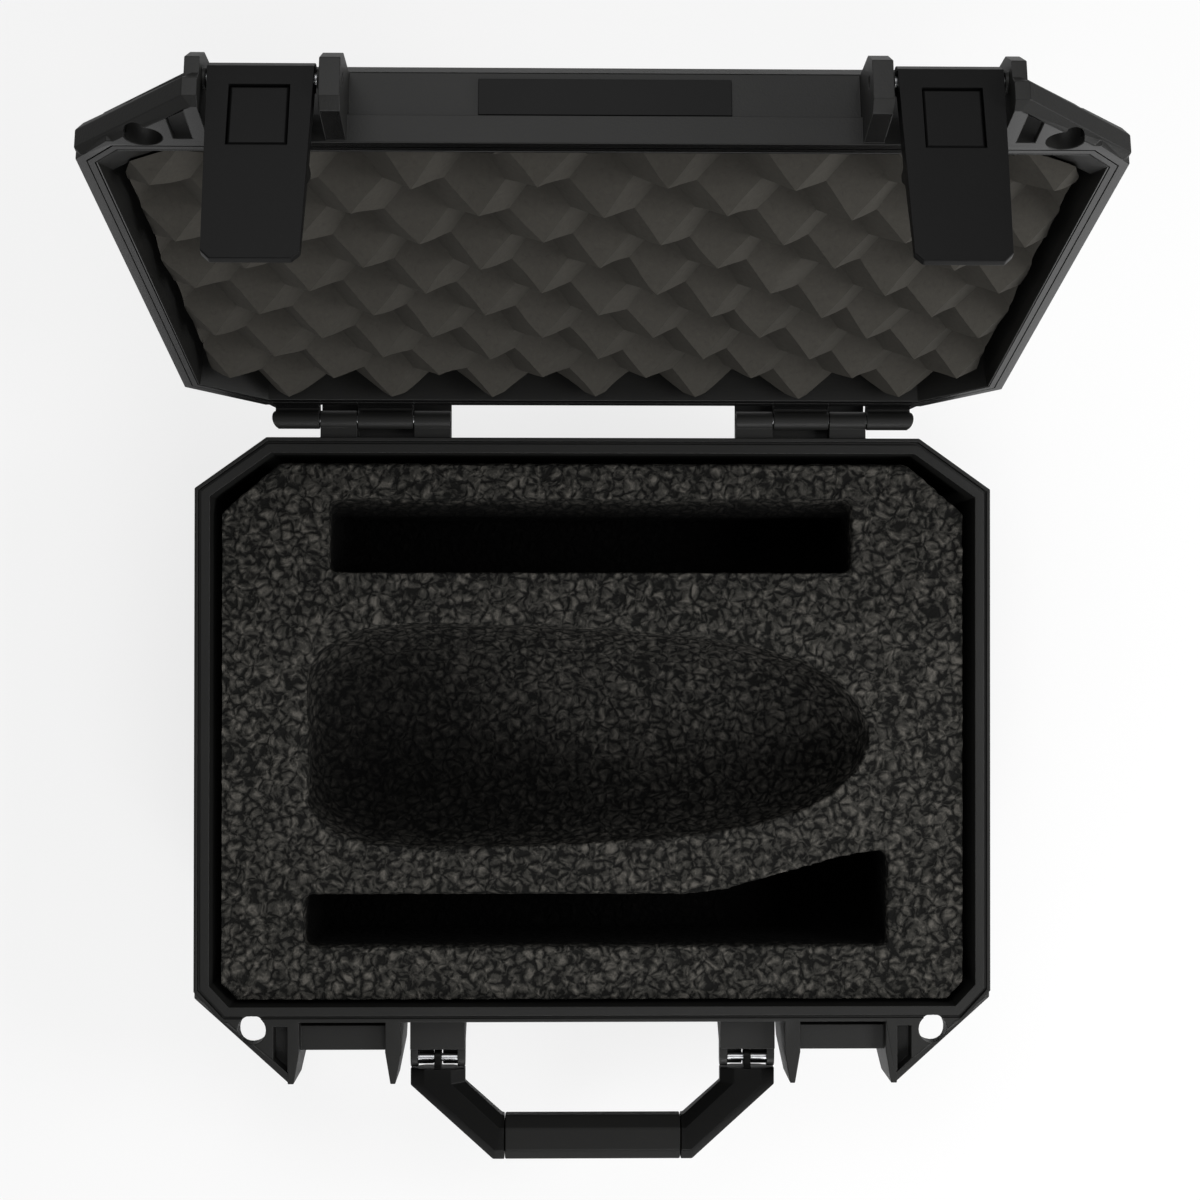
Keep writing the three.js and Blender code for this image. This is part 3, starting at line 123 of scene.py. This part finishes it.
# %% [markdown]
# ## Moulded plastic
# The shells are injection-moulded polypropylene, black with a little warm grey, from a steel
# mould that was etched matt. To the eye that is a fine pebble grain under half a millimetre
# wide, a soft broad sheen, and slow changes of gloss where the plastic cooled unevenly.
# The grain is drawn at 0.9 mm, coarser than the real 0.4 mm, because it would not show otherwise.
# Much of what looks grey on black plastic is reflected light, so the body colour is nearly black.
# The etched skin traps part of the gloss: its specular level is a little over half the usual 0.5.
# The latches are glass-filled nylon and the handle is satin polypropylene. Both look blacker
# than the shells, so their colours are darker and their specular levels are lower.

# %% A recipe for moulded plastic
MOULD_GRAIN_MM = 0.9
FLOW_MARK_MM = 55
ROUGHNESS_SPREAD = 0.06
PEBBLE_STRENGTH = 0.6
PLASTIC_IOR = 1.49


def moulded_plastic(name, dark, light, gloss, roughness, grain_depth_mm):
    """Moulded plastic or rubber: a pebble grain in the height, slow patches in the colour."""
    material, tree, place = start_material(name)
    grain = add_node(tree, "ShaderNodeTexNoise", {
        "Vector": place, "Scale": per_metre(MOULD_GRAIN_MM), "Detail": 2, "Roughness": 0.6,
    })
    patches = add_node(tree, "ShaderNodeTexNoise", {
        "Vector": place, "Scale": per_metre(FLOW_MARK_MM), "Detail": 4, "Roughness": 0.55,
    })
    colour = add_node(tree, "ShaderNodeMix", {
        0: patches.outputs["Fac"], 6: linear(dark), 7: linear(light),
    }, data_type="RGBA")
    rough = add_node(tree, "ShaderNodeMapRange", {
        "Value": patches.outputs["Fac"],
        "To Min": roughness - ROUGHNESS_SPREAD,
        "To Max": roughness + ROUGHNESS_SPREAD,
    })
    bump = add_node(tree, "ShaderNodeBump", {
        "Height": grain.outputs["Fac"],
        "Strength": PEBBLE_STRENGTH,
        "Distance": grain_depth_mm / 1000,
    })
    shader = add_node(tree, "ShaderNodeBsdfPrincipled", {
        "Base Color": colour.outputs[2],
        "Roughness": rough.outputs["Result"],
        "Normal": bump.outputs["Normal"],
        "IOR": PLASTIC_IOR,
        "Specular IOR Level": gloss,
    })
    add_node(tree, "ShaderNodeOutputMaterial", {"Surface": shader.outputs[0]})
    print("made", name)
    return material


print("grain drawn at", MOULD_GRAIN_MM, "mm, flow marks at", FLOW_MARK_MM, "mm")

# %% Plastics for the shells, the latches and the handle
polypropylene = moulded_plastic(
    "polypropylene_etched", "#161615", "#1d1d1c", gloss=0.29, roughness=0.5, grain_depth_mm=0.12,
)
nylon = moulded_plastic(
    "nylon_glass_filled_satin", "#0c0c0c", "#101010",
    gloss=0.11, roughness=0.42, grain_depth_mm=0.06,
)
handle_plastic = moulded_plastic(
    "polypropylene_satin_black", "#0a0a0a", "#0f0f0e",
    gloss=0.1, roughness=0.4, grain_depth_mm=0.08,
)

# %% [markdown]
# ## Foam
# The tub holds charcoal polyurethane foam, cut by a blade: torn cells show as a lively, random
# grain of light lumps and dark cracks, 2 to 4 mm wide. The lid's convoluted foam is finer and a
# little browner, with almost smooth faces. Foam has hardly any gloss, so the grain carries the
# look. An image could give it, but would repeat. Here one noise, bent by a second, makes the
# lumps, and the walls between Voronoi cells cut the cracks. Their sum drives both the colour
# and the height, so that dark spots lie deep.

# %% The grain of torn cells
# Widths, in cells.
DRIFT_CELLS = 2.2
BEND_CELLS = 1.6
WALL_CELLS = 1.3
WALL_WIDTH = 0.25
# Heights of the grain: what the walls add to it, and where its colours change.
WALL_DARK = -0.2
WALL_LIGHT = 0.03
MIDDLE_GRAIN = 0.5
CRACK_BAND = (-0.2, -0.05)
LUMP_BAND = (-0.02, 0.22)


def torn_cells(tree, place, cell_mm, contrast):
    """A grain with heights around one half: wavy lumps, cut by the walls between cells."""
    drift = add_node(tree, "ShaderNodeTexNoise", {
        "Vector": place, "Scale": per_metre(cell_mm * DRIFT_CELLS), "Detail": 1,
    })
    bent = add_node(tree, "ShaderNodeVectorMath", {
        0: drift.outputs["Color"], 1: (cell_mm * BEND_CELLS / 1000,) * 3, 2: place,
    }, operation="MULTIPLY_ADD").outputs[0]
    lumps = add_node(tree, "ShaderNodeTexNoise", {
        "Vector": bent, "Scale": per_metre(cell_mm), "Detail": 3, "Roughness": 0.62,
    })
    cells = add_node(tree, "ShaderNodeTexVoronoi", {
        "Vector": bent, "Scale": per_metre(cell_mm * WALL_CELLS),
    }, feature="DISTANCE_TO_EDGE")
    walls = add_node(tree, "ShaderNodeMapRange", {
        "Value": cells.outputs["Distance"], "From Min": 0, "From Max": WALL_WIDTH,
        "To Min": WALL_DARK * contrast, "To Max": WALL_LIGHT,
    })
    return add_node(tree, "ShaderNodeMath", {
        0: lumps.outputs["Fac"], 1: walls.outputs["Result"],
    }, operation="ADD").outputs[0]


def foam_colours(tree, grain, contrast, cracks, body, lumps):
    """Dark cracks turn to the body's colour across one band of the grain, then to light lumps."""
    colour = linear(cracks)
    for (low, high), tone in ((CRACK_BAND, body), (LUMP_BAND, lumps)):
        share = add_node(tree, "ShaderNodeMapRange", {
            "Value": grain,
            "From Min": MIDDLE_GRAIN + low / contrast,
            "From Max": MIDDLE_GRAIN + high / contrast,
        })
        colour = add_node(tree, "ShaderNodeMix", {
            0: share.outputs["Result"], 6: colour, 7: linear(tone),
        }, data_type="RGBA").outputs[2]
    return colour


print("a crack fades within", round(WALL_WIDTH * WALL_CELLS, 2), "cell widths of its middle")

# %% [markdown]
# ## Painted shade in the hollows
# The foam's colour is darkened with depth below the cut face: painted shade for the hollows,
# where less light reaches. Depth is measured along a line, since the lid's foam stands nearly
# upright. A narrow slot gets this painted shade sooner than a wide cradle, so the tub's depth is
# multiplied first: a little at the cradle's pointed end, more at its square end and along its
# front wall, and most in the two slots. A ramp then says how much colour is left at each felt
# depth.

# %% How deep a place in the tub counts for painted shade
CRADLE_MIDDLE_Y = -0.0032
SLOTS_FROM_MIDDLE = 0.0557
SLOT_EDGE = 0.001
# What is measured, two places along it, and this row's part of the painted shade's depth factor at
# each.
PAINTED_SHADE_PLACES = [
    ("along", 0.0, -0.11, 1, 4.6),
    ("along", 0.05, 0.11, 0, 2),
    ("behind middle", 0.005, -0.045, 0, 4),
    ("off middle", SLOTS_FROM_MIDDLE, SLOTS_FROM_MIDDLE + SLOT_EDGE, 0, 14),
]


def tub_painted_shade_depth(tree, place):
    """How many times deeper a spot in the tub counts than it is, for painted shade."""
    parts = add_node(tree, "ShaderNodeSeparateXYZ", {0: place})
    behind = add_node(tree, "ShaderNodeMath", {
        0: parts.outputs["Y"], 1: CRADLE_MIDDLE_Y,
    }, operation="SUBTRACT").outputs[0]
    off = add_node(tree, "ShaderNodeMath", {0: behind}, operation="ABSOLUTE").outputs[0]
    measured = {"along": parts.outputs["X"], "behind middle": behind, "off middle": off}
    total = 0
    for what, start, end, least, most in PAINTED_SHADE_PLACES:
        more = add_node(tree, "ShaderNodeMapRange", {
            "Value": measured[what], "From Min": start, "From Max": end,
            "To Min": least, "To Max": most,
        })
        total = add_node(tree, "ShaderNodeMath", {
            0: total, 1: more.outputs["Result"],
        }, operation="ADD").outputs[0]
    return total


print(len(PAINTED_SHADE_PLACES), "kinds of place in the tub change how deep it feels")

# %% How much colour painted shade leaves at each depth
# Felt depth below the cut face in metres, and the share of colour that painted shade leaves there.
TUB_PAINTED_SHADE = [(0.001, 1), (0.012, 0.72), (0.07, 0.55), (0.15, 0.2), (0.28, 0.07), (0.5, 0.02)]
CRATE_PAINTED_SHADE = [(0.007, 1), (0.017, 0.7)]
NEW_RAMP_STOPS = 2


def painted_hollow_shade(tree, place, along, surface, shares, shade_depth_scale):
    """Painted shade: the share of its colour that foam keeps at each place, as a grey."""
    level = add_node(tree, "ShaderNodeVectorMath", {0: place, 1: along}, operation="DOT_PRODUCT")
    depth = add_node(tree, "ShaderNodeMath", {
        0: level.outputs["Value"], 1: surface,
    }, operation="SUBTRACT")
    felt = add_node(tree, "ShaderNodeMath", {
        0: depth.outputs[0], 1: shade_depth_scale,
    }, operation="MULTIPLY")
    first, last = shares[0][0], shares[-1][0]
    position = add_node(tree, "ShaderNodeMapRange", {
        "Value": felt.outputs[0], "From Min": first, "From Max": last,
    })
    shade = add_node(tree, "ShaderNodeValToRGB", {0: position.outputs["Result"]})
    stops = shade.color_ramp.elements
    for number, (felt_depth, share) in enumerate(shares):
        stop = stops[number] if number < NEW_RAMP_STOPS else stops.new(1)
        stop.position = (felt_depth - first) / (last - first)
        stop.color = (share, share, share, 1)
    return shade.outputs[0]


print("the deepest of the tub keeps", TUB_PAINTED_SHADE[-1][1], "of its light, the lid", CRATE_PAINTED_SHADE[-1][1])

# %% [markdown]
# ## Two foams
# Both foams share one recipe. The lid's foam hangs in a lid that is turned open, so its depth
# runs into the lid from the plane of the rim, and the hinge's place gives that plane.

# %% Open-cell foam for the tub and the lid
FOAM_ROUGHNESS = 0.95
FOAM_GLOSS = 0.1
FOAM_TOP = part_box("base_foam_block")[1][2]
LID_TURN = math.radians(103.9)
HINGE_AXIS = Vector((0, 0.1518, 0.1059))
HINGE_BELOW_RIM = 0.0041

down = (0, 0, -1)
into_lid = Vector((0, math.sin(LID_TURN), math.cos(LID_TURN)))
lid_rim = into_lid.dot(HINGE_AXIS) + HINGE_BELOW_RIM


def open_cell_foam(name, tones, cell_mm, contrast, relief_mm, painted_shade_setup, shade_depth_scale=None):
    """Foam in tones for cracks, body and lumps, with painted shade that darkens it with depth below
    its cut face.
    """
    material, tree, place = start_material(name)
    grain = torn_cells(tree, place, cell_mm, contrast)
    speckled = foam_colours(tree, grain, contrast, *tones)
    factor = shade_depth_scale(tree, place) if shade_depth_scale else 1
    # Painted shade: the speckled colour is mixed towards black with depth below the cut face.
    colour = add_node(tree, "ShaderNodeMix", {
        0: painted_hollow_shade(tree, place, *painted_shade_setup, factor), 6: linear("#000000"), 7: speckled,
    }, data_type="RGBA")
    bump = add_node(tree, "ShaderNodeBump", {
        "Height": grain, "Strength": 1, "Distance": relief_mm / 1000,
    })
    shader = add_node(tree, "ShaderNodeBsdfPrincipled", {
        "Base Color": colour.outputs[2],
        "Roughness": FOAM_ROUGHNESS,
        "Specular IOR Level": FOAM_GLOSS,
        "Normal": bump.outputs["Normal"],
    })
    add_node(tree, "ShaderNodeOutputMaterial", {"Surface": shader.outputs[0]})
    print("made", name)
    return material


charcoal_foam = open_cell_foam(
    "polyurethane_foam_cut", ("#161615", "#373633", "#5f5c57"),
    cell_mm=3.9, contrast=1.0, relief_mm=1.8,
    painted_shade_setup=(down, -FOAM_TOP, TUB_PAINTED_SHADE), shade_depth_scale=tub_painted_shade_depth,
)
crate_foam = open_cell_foam(
    "polyurethane_foam_convoluted", ("#383632", "#3f3d39", "#45433e"),
    cell_mm=2.4, contrast=0.5, relief_mm=0.1,
    painted_shade_setup=(into_lid, lid_rim, CRATE_PAINTED_SHADE),
)

# %% [markdown]
# ## Rubber and steel
# The grip is moulded thermoplastic rubber: black, dull, with a faint grain. The lid's seal is
# extruded silicone rubber, so it is smooth and a little shiny. Both use the recipe for moulded
# plastic, the seal with almost no grain. The pins are drawn stainless steel, ground along
# their length, so the fine lines run with the pin and smear its highlight. The lines are drawn
# 0.3 mm apart, coarser than real grinding lines. A metal keeps the shader's own IOR.

# %% Rubber and ground steel
GRINDING_LINE_MM = 0.3
LINE_STRETCH = (0.05, 1, 1)
STEEL_ROUGHNESS = (0.22, 0.42)
LINE_STRENGTH = 0.3
LINE_DEPTH = 0.00002


def ground_steel(name, colour_hex):
    """Steel with fine lines along X, the way each pin runs."""
    material, tree, place = start_material(name)
    stretched = add_node(tree, "ShaderNodeMapping", {"Vector": place, "Scale": LINE_STRETCH})
    lines = add_node(tree, "ShaderNodeTexNoise", {
        "Vector": stretched.outputs[0], "Scale": per_metre(GRINDING_LINE_MM), "Detail": 2,
    })
    rough = add_node(tree, "ShaderNodeMapRange", {
        "Value": lines.outputs["Fac"],
        "To Min": STEEL_ROUGHNESS[0],
        "To Max": STEEL_ROUGHNESS[1],
    })
    bump = add_node(tree, "ShaderNodeBump", {
        "Height": lines.outputs["Fac"], "Strength": LINE_STRENGTH, "Distance": LINE_DEPTH,
    })
    shader = add_node(tree, "ShaderNodeBsdfPrincipled", {
        "Base Color": linear(colour_hex),
        "Metallic": 1,
        "Roughness": rough.outputs["Result"],
        "Normal": bump.outputs["Normal"],
    })
    add_node(tree, "ShaderNodeOutputMaterial", {"Surface": shader.outputs[0]})
    print("made", name)
    return material


steel = ground_steel("stainless_steel_ground", "#c9cacc")
seal = moulded_plastic(
    "silicone_rubber_smooth", "#080808", "#0b0b0b", gloss=0.4, roughness=0.22, grain_depth_mm=0.01,
)
rubber = moulded_plastic(
    "thermoplastic_rubber", "#131312", "#1a1a19", gloss=0.15, roughness=0.55, grain_depth_mm=0.1,
)

# %% [markdown]
# ## Clean copies of the solids
# A solid from the engineering model is cut into triangles, with lines across its flat faces
# that a bevel would trip over. So a copy is welded and its flat faces are joined two by two,
# as long as the outline stays convex. Blender can dissolve flat faces in one call, but on a
# wall with many ribs that makes faces with holes in them, which are then drawn closed.

# %% Weld a copy and join its flat faces
FLAT_ANGLE = math.radians(0.6)
STRAIGHT_ANGLE = math.radians(180.02)
WELD = 2e-6
JOIN_ROUNDS = 3


def corner_angle(vert, pair):
    """The angle that two faces make together at one corner that both have."""
    return sum(loop.calc_angle() for loop in vert.link_loops if loop.face in pair)


def join_flat_neighbours(work):
    """Joins faces that lie in one plane, wherever the joined face has no inward corner."""
    for edge in list(work.edges):
        if not edge.is_valid or len(edge.link_faces) != 2:
            continue
        pair = edge.link_faces[:]
        if pair[0].normal.angle(pair[1].normal, math.pi) > FLAT_ANGLE:
            continue
        if max(corner_angle(vert, pair) for vert in edge.verts) < STRAIGHT_ANGLE:
            bmesh.utils.face_join(pair, True).normal_update()


def welded_copy(node_name):
    """A copy of a solid's mesh, with no doubled corners and few lines across flat faces."""
    work = bmesh.new()
    work.from_mesh(nodes[node_name].data)
    bmesh.ops.remove_doubles(work, verts=work.verts, dist=WELD)
    bmesh.ops.dissolve_degenerate(work, dist=WELD, edges=work.edges)
    area = sum(face.calc_area() for face in work.faces)
    for _ in range(JOIN_ROUNDS):
        join_flat_neighbours(work)
    change = abs(sum(face.calc_area() for face in work.faces) / area - 1)
    print(node_name, len(work.faces), "faces, area kept to", round(change * 1e6, 2), "ppm")
    mesh = bpy.data.meshes.new(node_name)
    work.to_mesh(mesh)
    work.free()
    return mesh


print("faces tilted less than", round(math.degrees(FLAT_ANGLE), 1), "degrees apart are joined")

# %% [markdown]
# ## Pieces that stand for solids
# A detailed piece takes a solid's place in the picture, while the solid stays for collision.
# The piece rides on the solid's body, so the lid, the latches and the handle still move.

# %% Put a piece in a solid's place
def new_object(name, mesh, material):
    """An object in the scene with one mesh and one material."""
    made = bpy.data.objects.new(name, mesh)
    bpy.context.scene.collection.objects.link(made)
    mesh.materials.clear()
    mesh.materials.append(material)
    return made


def apply_modifiers(piece):
    """Turns what the modifiers show into the piece's own mesh."""
    shown = piece.evaluated_get(bpy.context.evaluated_depsgraph_get())
    mesh = bpy.data.meshes.new_from_object(shown)
    piece.modifiers.clear()
    piece.data = mesh


def stand_for(piece, node_name, body):
    """Shows a piece in a solid's place, on that solid's body."""
    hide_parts(node_name)
    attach(piece, body)
    print(piece.name, len(piece.data.polygons), "faces")


# %% [markdown]
# ## Eased edges
# No moulded edge is sharp: the mould's own corners are rounded, and light catches them as thin
# bright lines. A narrow bevel rounds the real edges, which a subdivision surface would do only
# with extra loops. Weighted normals then keep the flat faces flat.

# %% Copies with eased edges
EDGE_ANGLE = math.radians(28)
SMOOTH_ANGLE = math.radians(40)
BEVEL_SEGMENTS = 2


def eased_copy(node_name, name, material, radius_mm, body, slot):
    """A piece that stands for a solid, with its edges rounded."""
    piece = new_object(name, welded_copy(node_name), material)
    bevel = piece.modifiers.new("ease", "BEVEL")
    bevel.width = radius_mm / 1000
    bevel.segments = BEVEL_SEGMENTS
    bevel.limit_method = "ANGLE"
    bevel.angle_limit = EDGE_ANGLE
    bevel.use_clamp_overlap = False
    apply_modifiers(piece)
    piece.data.shade_smooth()
    piece.data.set_sharp_from_angle(angle=SMOOTH_ANGLE)
    weighted = piece.modifiers.new("flat faces stay flat", "WEIGHTED_NORMAL")
    weighted.keep_sharp = True
    apply_modifiers(piece)
    stand_for(piece, node_name, body)


# Solid, new name, material, edge radius in millimetres, body, slot.
EASED = [
    ("base_shell", "tub", polypropylene, 0.35, "base", "shell_plastic"),
    ("lid_shell", "lid", polypropylene, 0.35, "lid", "shell_plastic"),
    ("lid_plate", "blank_plate", nylon, 0.25, "lid", "latch_plastic"),
    ("handle_core", "handle_loop", handle_plastic, 0.5, "handle", "shell_plastic"),
    ("handle_grip", "handle_sleeve", rubber, 0.8, "handle", "soft_rubber"),
    ("latch_body_left", "latch_left", nylon, 0.5, "latch_left", "latch_plastic"),
    ("latch_button_left", "button_left", nylon, 0.3, "button_left", "latch_plastic"),
    ("latch_body_right", "latch_right", nylon, 0.5, "latch_right", "latch_plastic"),
    ("latch_button_right", "button_right", nylon, 0.3, "button_right", "latch_plastic"),
]
for row in EASED:
    eased_copy(*row)

# %% [markdown]
# ## The lid's shut-off face
# Where lid and tub meet, the mould's steel isn't etched but ground, so that face comes out
# smooth. Seen at a shallow angle it mirrors what is below it: the dark tub along the front,
# the pale table at both sides. Its colour is also darker than the shells', which is painted
# shade that keeps the face nearly black. A second material on the same mesh is simpler than a
# separate strip. Its faces are picked by where they look and how deep they lie.

# %% A smooth finish for the faces in the parting plane
SHUT_OFF_DEPTH = 0.003
FACING_TUB = 0.97

# Painted shade: darker than the shells' colour; the smooth gloss is the face's own.
smooth_face_painted_shade = moulded_plastic(
    "polypropylene_shut_off_face", "#0b0b0b", "#0e0e0e",
    gloss=0.45, roughness=0.2, grain_depth_mm=0.01,
)
lid_copy = bpy.data.objects["lid"].data
lid_copy.materials.append(smooth_face_painted_shade)
for face in lid_copy.polygons:
    faces_tub = face.normal.dot(into_lid) < -FACING_TUB
    if faces_tub and abs(into_lid.dot(face.center) - lid_rim) < SHUT_OFF_DEPTH:
        face.material_index = 1
print(sum(face.material_index for face in lid_copy.polygons), "smooth faces")

# %% [markdown]
# ## Cut foam
# The tub's foams need soft lips where the blade left the surface, and a slightly uneven skin. A
# voxel remesh of each solid gives an even net of small faces, smoothing rounds its edges,
# and noise at each corner's place moves the skin by a few tenths of a millimetre, mostly
# inward. Sculpting would do as well, but this gives the same skin each time.

# %% Foam pieces
SMOOTHING_FACTOR = 0.5
LUMP_VOXELS = 2.4
INWARD_SHIFT = 0.5


def set_places(piece, places):
    """Moves all corners of a piece at once."""
    piece.data.vertices.foreach_set("co", [number for place in places for number in place])


def foam_copy(node_name, name, material, voxel_mm, smoothing, unevenness_mm, body, slot):
    """A foam piece that stands for a solid: evenly meshed, softened and a little uneven."""
    piece = new_object(name, welded_copy(node_name), material)
    remesh = piece.modifiers.new("even net", "REMESH")
    remesh.mode = "VOXEL"
    remesh.voxel_size = voxel_mm / 1000
    soften = piece.modifiers.new("soft lips", "SMOOTH")
    soften.factor = SMOOTHING_FACTOR
    soften.iterations = smoothing
    apply_modifiers(piece)
    lump = per_metre(voxel_mm * LUMP_VOXELS)
    skin = [(vertex.co.copy(), vertex.normal.copy()) for vertex in piece.data.vertices]
    set_places(piece, [
        co + out * (noise.noise(co * lump) - INWARD_SHIFT) * unevenness_mm / 1000
        for co, out in skin
    ])
    piece.data.shade_smooth()
    stand_for(piece, node_name, body)


# Solid, new name, material, net in mm, smoothing rounds, unevenness in mm, body, slot.
FOAMS = [
    ("base_foam_block", "foam_block", charcoal_foam, 1.6, 2, 0.5, "base", "cut_foam"),
    ("base_foam_floor", "foam_floor_pad", charcoal_foam, 4, 1, 0.3, "base", "cut_foam"),
]
for row in FOAMS:
    foam_copy(*row)

# %% [markdown]
# ## The lid's egg-crate foam
# Convoluted foam is squeezed between rollers and slit by a band knife, which leaves flat
# facets. The photograph's relief is lower than the solid's 24 mm, and its peaks end at the
# rim. So the depth of every corner below the peaks is pressed together first, to 20 mm. Slow
# noise then makes the ridges wander a little, as a knife in foam does. It acts on finer faces,
# from a subdivision that adds corners without rounding the facets. Vector noise in Blender
# starts from a random place unless it is given a seed, so it gets one.

# %% Egg-crate foam
# Depths run from the rim's plane into the lid, in metres.
SOLID_PEAKS_DEPTH = -0.005
SOLID_RELIEF = 0.024
RELIEF_SLACK = 1.02
PEAKS_DEPTH = -0.001
RELIEF = 0.02
SIDE_GAP_SHARE = 0.985
WANDER_MM = 1.8
WANDER_WAVE_MM = 26
WANDER_SEED = 11
FACET_ANGLE = math.radians(22)
FINER_LEVELS = 2


def pressed(place):
    """Where a corner goes when the relief is pressed together. The foam's back isn't moved in."""
    depth = into_lid.dot(place) - lid_rim
    below_peaks = depth - SOLID_PEAKS_DEPTH
    narrower = Vector((place.x * SIDE_GAP_SHARE, place.y, place.z))
    if below_peaks > SOLID_RELIEF * RELIEF_SLACK:
        return narrower
    wanted = PEAKS_DEPTH + below_peaks * RELIEF / SOLID_RELIEF
    return narrower + into_lid * (wanted - depth)


crate = new_object("egg_crate_foam", welded_copy("lid_foam"), crate_foam)
set_places(crate, [pressed(vertex.co) for vertex in crate.data.vertices])
net = crate.modifiers.new("finer faces", "SUBSURF")
net.subdivision_type = "SIMPLE"
net.levels = FINER_LEVELS
apply_modifiers(crate)
places = [vertex.co.copy() for vertex in crate.data.vertices]
wave = per_metre(WANDER_WAVE_MM)
noise.seed_set(WANDER_SEED)
set_places(crate, [co + noise.noise_vector(co * wave) * WANDER_MM / 1000 for co in places])
crate.data.shade_smooth()
crate.data.set_sharp_from_angle(angle=FACET_ANGLE)
stand_for(crate, "lid_foam", "lid")

# %% [markdown]
# ## The solids that stay
# Pins, springs and the seal have the right shape already, so they stay as the engineering
# model made them and only get a finish.

# %% Finishes on the solids that stay
STAYING = (("pin", steel), ("spring", steel), ("gasket", seal))

for name, node in nodes.items():
    for word, material in STAYING:
        if word in name:
            node.data.materials.clear()
            node.data.materials.append(material)
            print(name, "is", material.name)

# %% [markdown]
# ## Floor and light
# The photograph is a cut-out on white with soft light from above. A pale floor under a white
# world gives that. To the camera the floor is three quarters white glow and one quarter lit
# paper, so it stays white but still takes a faint shadow. The world is white to the camera
# alone. To everything else it is a dim, even light that fills the shadows. Three soft lamps
# shape the case: one at the right gives the lid's foam its light and dark facets, one in front
# lights the front wall and the handle, and a broad one behind the lid lights its edges.

# %% Floor
FLOOR_SIZE = 60
FLOOR_GLOW = 0.75

half = FLOOR_SIZE / 2
corners = [(-half, -half, 0), (half, -half, 0), (half, half, 0), (-half, half, 0)]
floor_mesh = bpy.data.meshes.new("floor")
floor_mesh.from_pydata(corners, [], [(0, 1, 2, 3)])
floor_material, tree, _ = start_material("floor_white_paper")
seen = add_node(tree, "ShaderNodeLightPath").outputs["Is Camera Ray"]
glow_share = add_node(tree, "ShaderNodeMath", {0: seen, 1: FLOOR_GLOW}, operation="MULTIPLY")
paper = add_node(tree, "ShaderNodeBsdfDiffuse", {"Color": linear("#f4f4f4")})
glow = add_node(tree, "ShaderNodeEmission", {"Color": linear("#ffffff"), "Strength": 1})
mixed = add_node(tree, "ShaderNodeMixShader", {
    0: glow_share.outputs[0], 1: paper.outputs[0], 2: glow.outputs[0],
})
add_node(tree, "ShaderNodeOutputMaterial", {"Surface": mixed.outputs[0]})
floor = new_object("floor", floor_mesh, floor_material)
print("floor", FLOOR_SIZE, "m wide")

# %% World and lamps
WORLD_LIGHT = 0.27
LAMP_AIM = Vector((0, 0.05, 0.1))
# Name, place and size in metres, watts.
LAMPS = [
    ("key_right", (0.85, 0.0, 0.8), 0.45, 6),
    ("front_low", (0.1, -0.8, 0.75), 0.4, 5),
    ("soft_behind_lid", (-0.1, 0.8, 1.3), 0.9, 6),
]

world = bpy.data.worlds.new("white_studio")
bpy.context.scene.world = world
world.use_nodes = True
tree = world.node_tree
tree.nodes.clear()
seen = add_node(tree, "ShaderNodeLightPath").outputs["Is Camera Ray"]
strength = add_node(tree, "ShaderNodeMapRange", {
    "Value": seen, "To Min": WORLD_LIGHT, "To Max": 1,
})
sky = add_node(tree, "ShaderNodeBackground", {
    "Color": linear("#ffffff"), "Strength": strength.outputs["Result"],
})
add_node(tree, "ShaderNodeOutputWorld", {"Surface": sky.outputs[0]})

for name, spot, size, watts in LAMPS:
    lamp = bpy.data.lights.new(name, "AREA")
    lamp.size = size
    lamp.energy = watts
    lamp_object = bpy.data.objects.new(name, lamp)
    turn = (LAMP_AIM - Vector(spot)).to_track_quat("-Z", "Y").to_matrix().to_4x4()
    lamp_object.matrix_world = Matrix.Translation(spot) @ turn
    bpy.context.scene.collection.objects.link(lamp_object)
    print(name, watts, "W")
bpy.context.scene.view_settings.view_transform = "Standard"
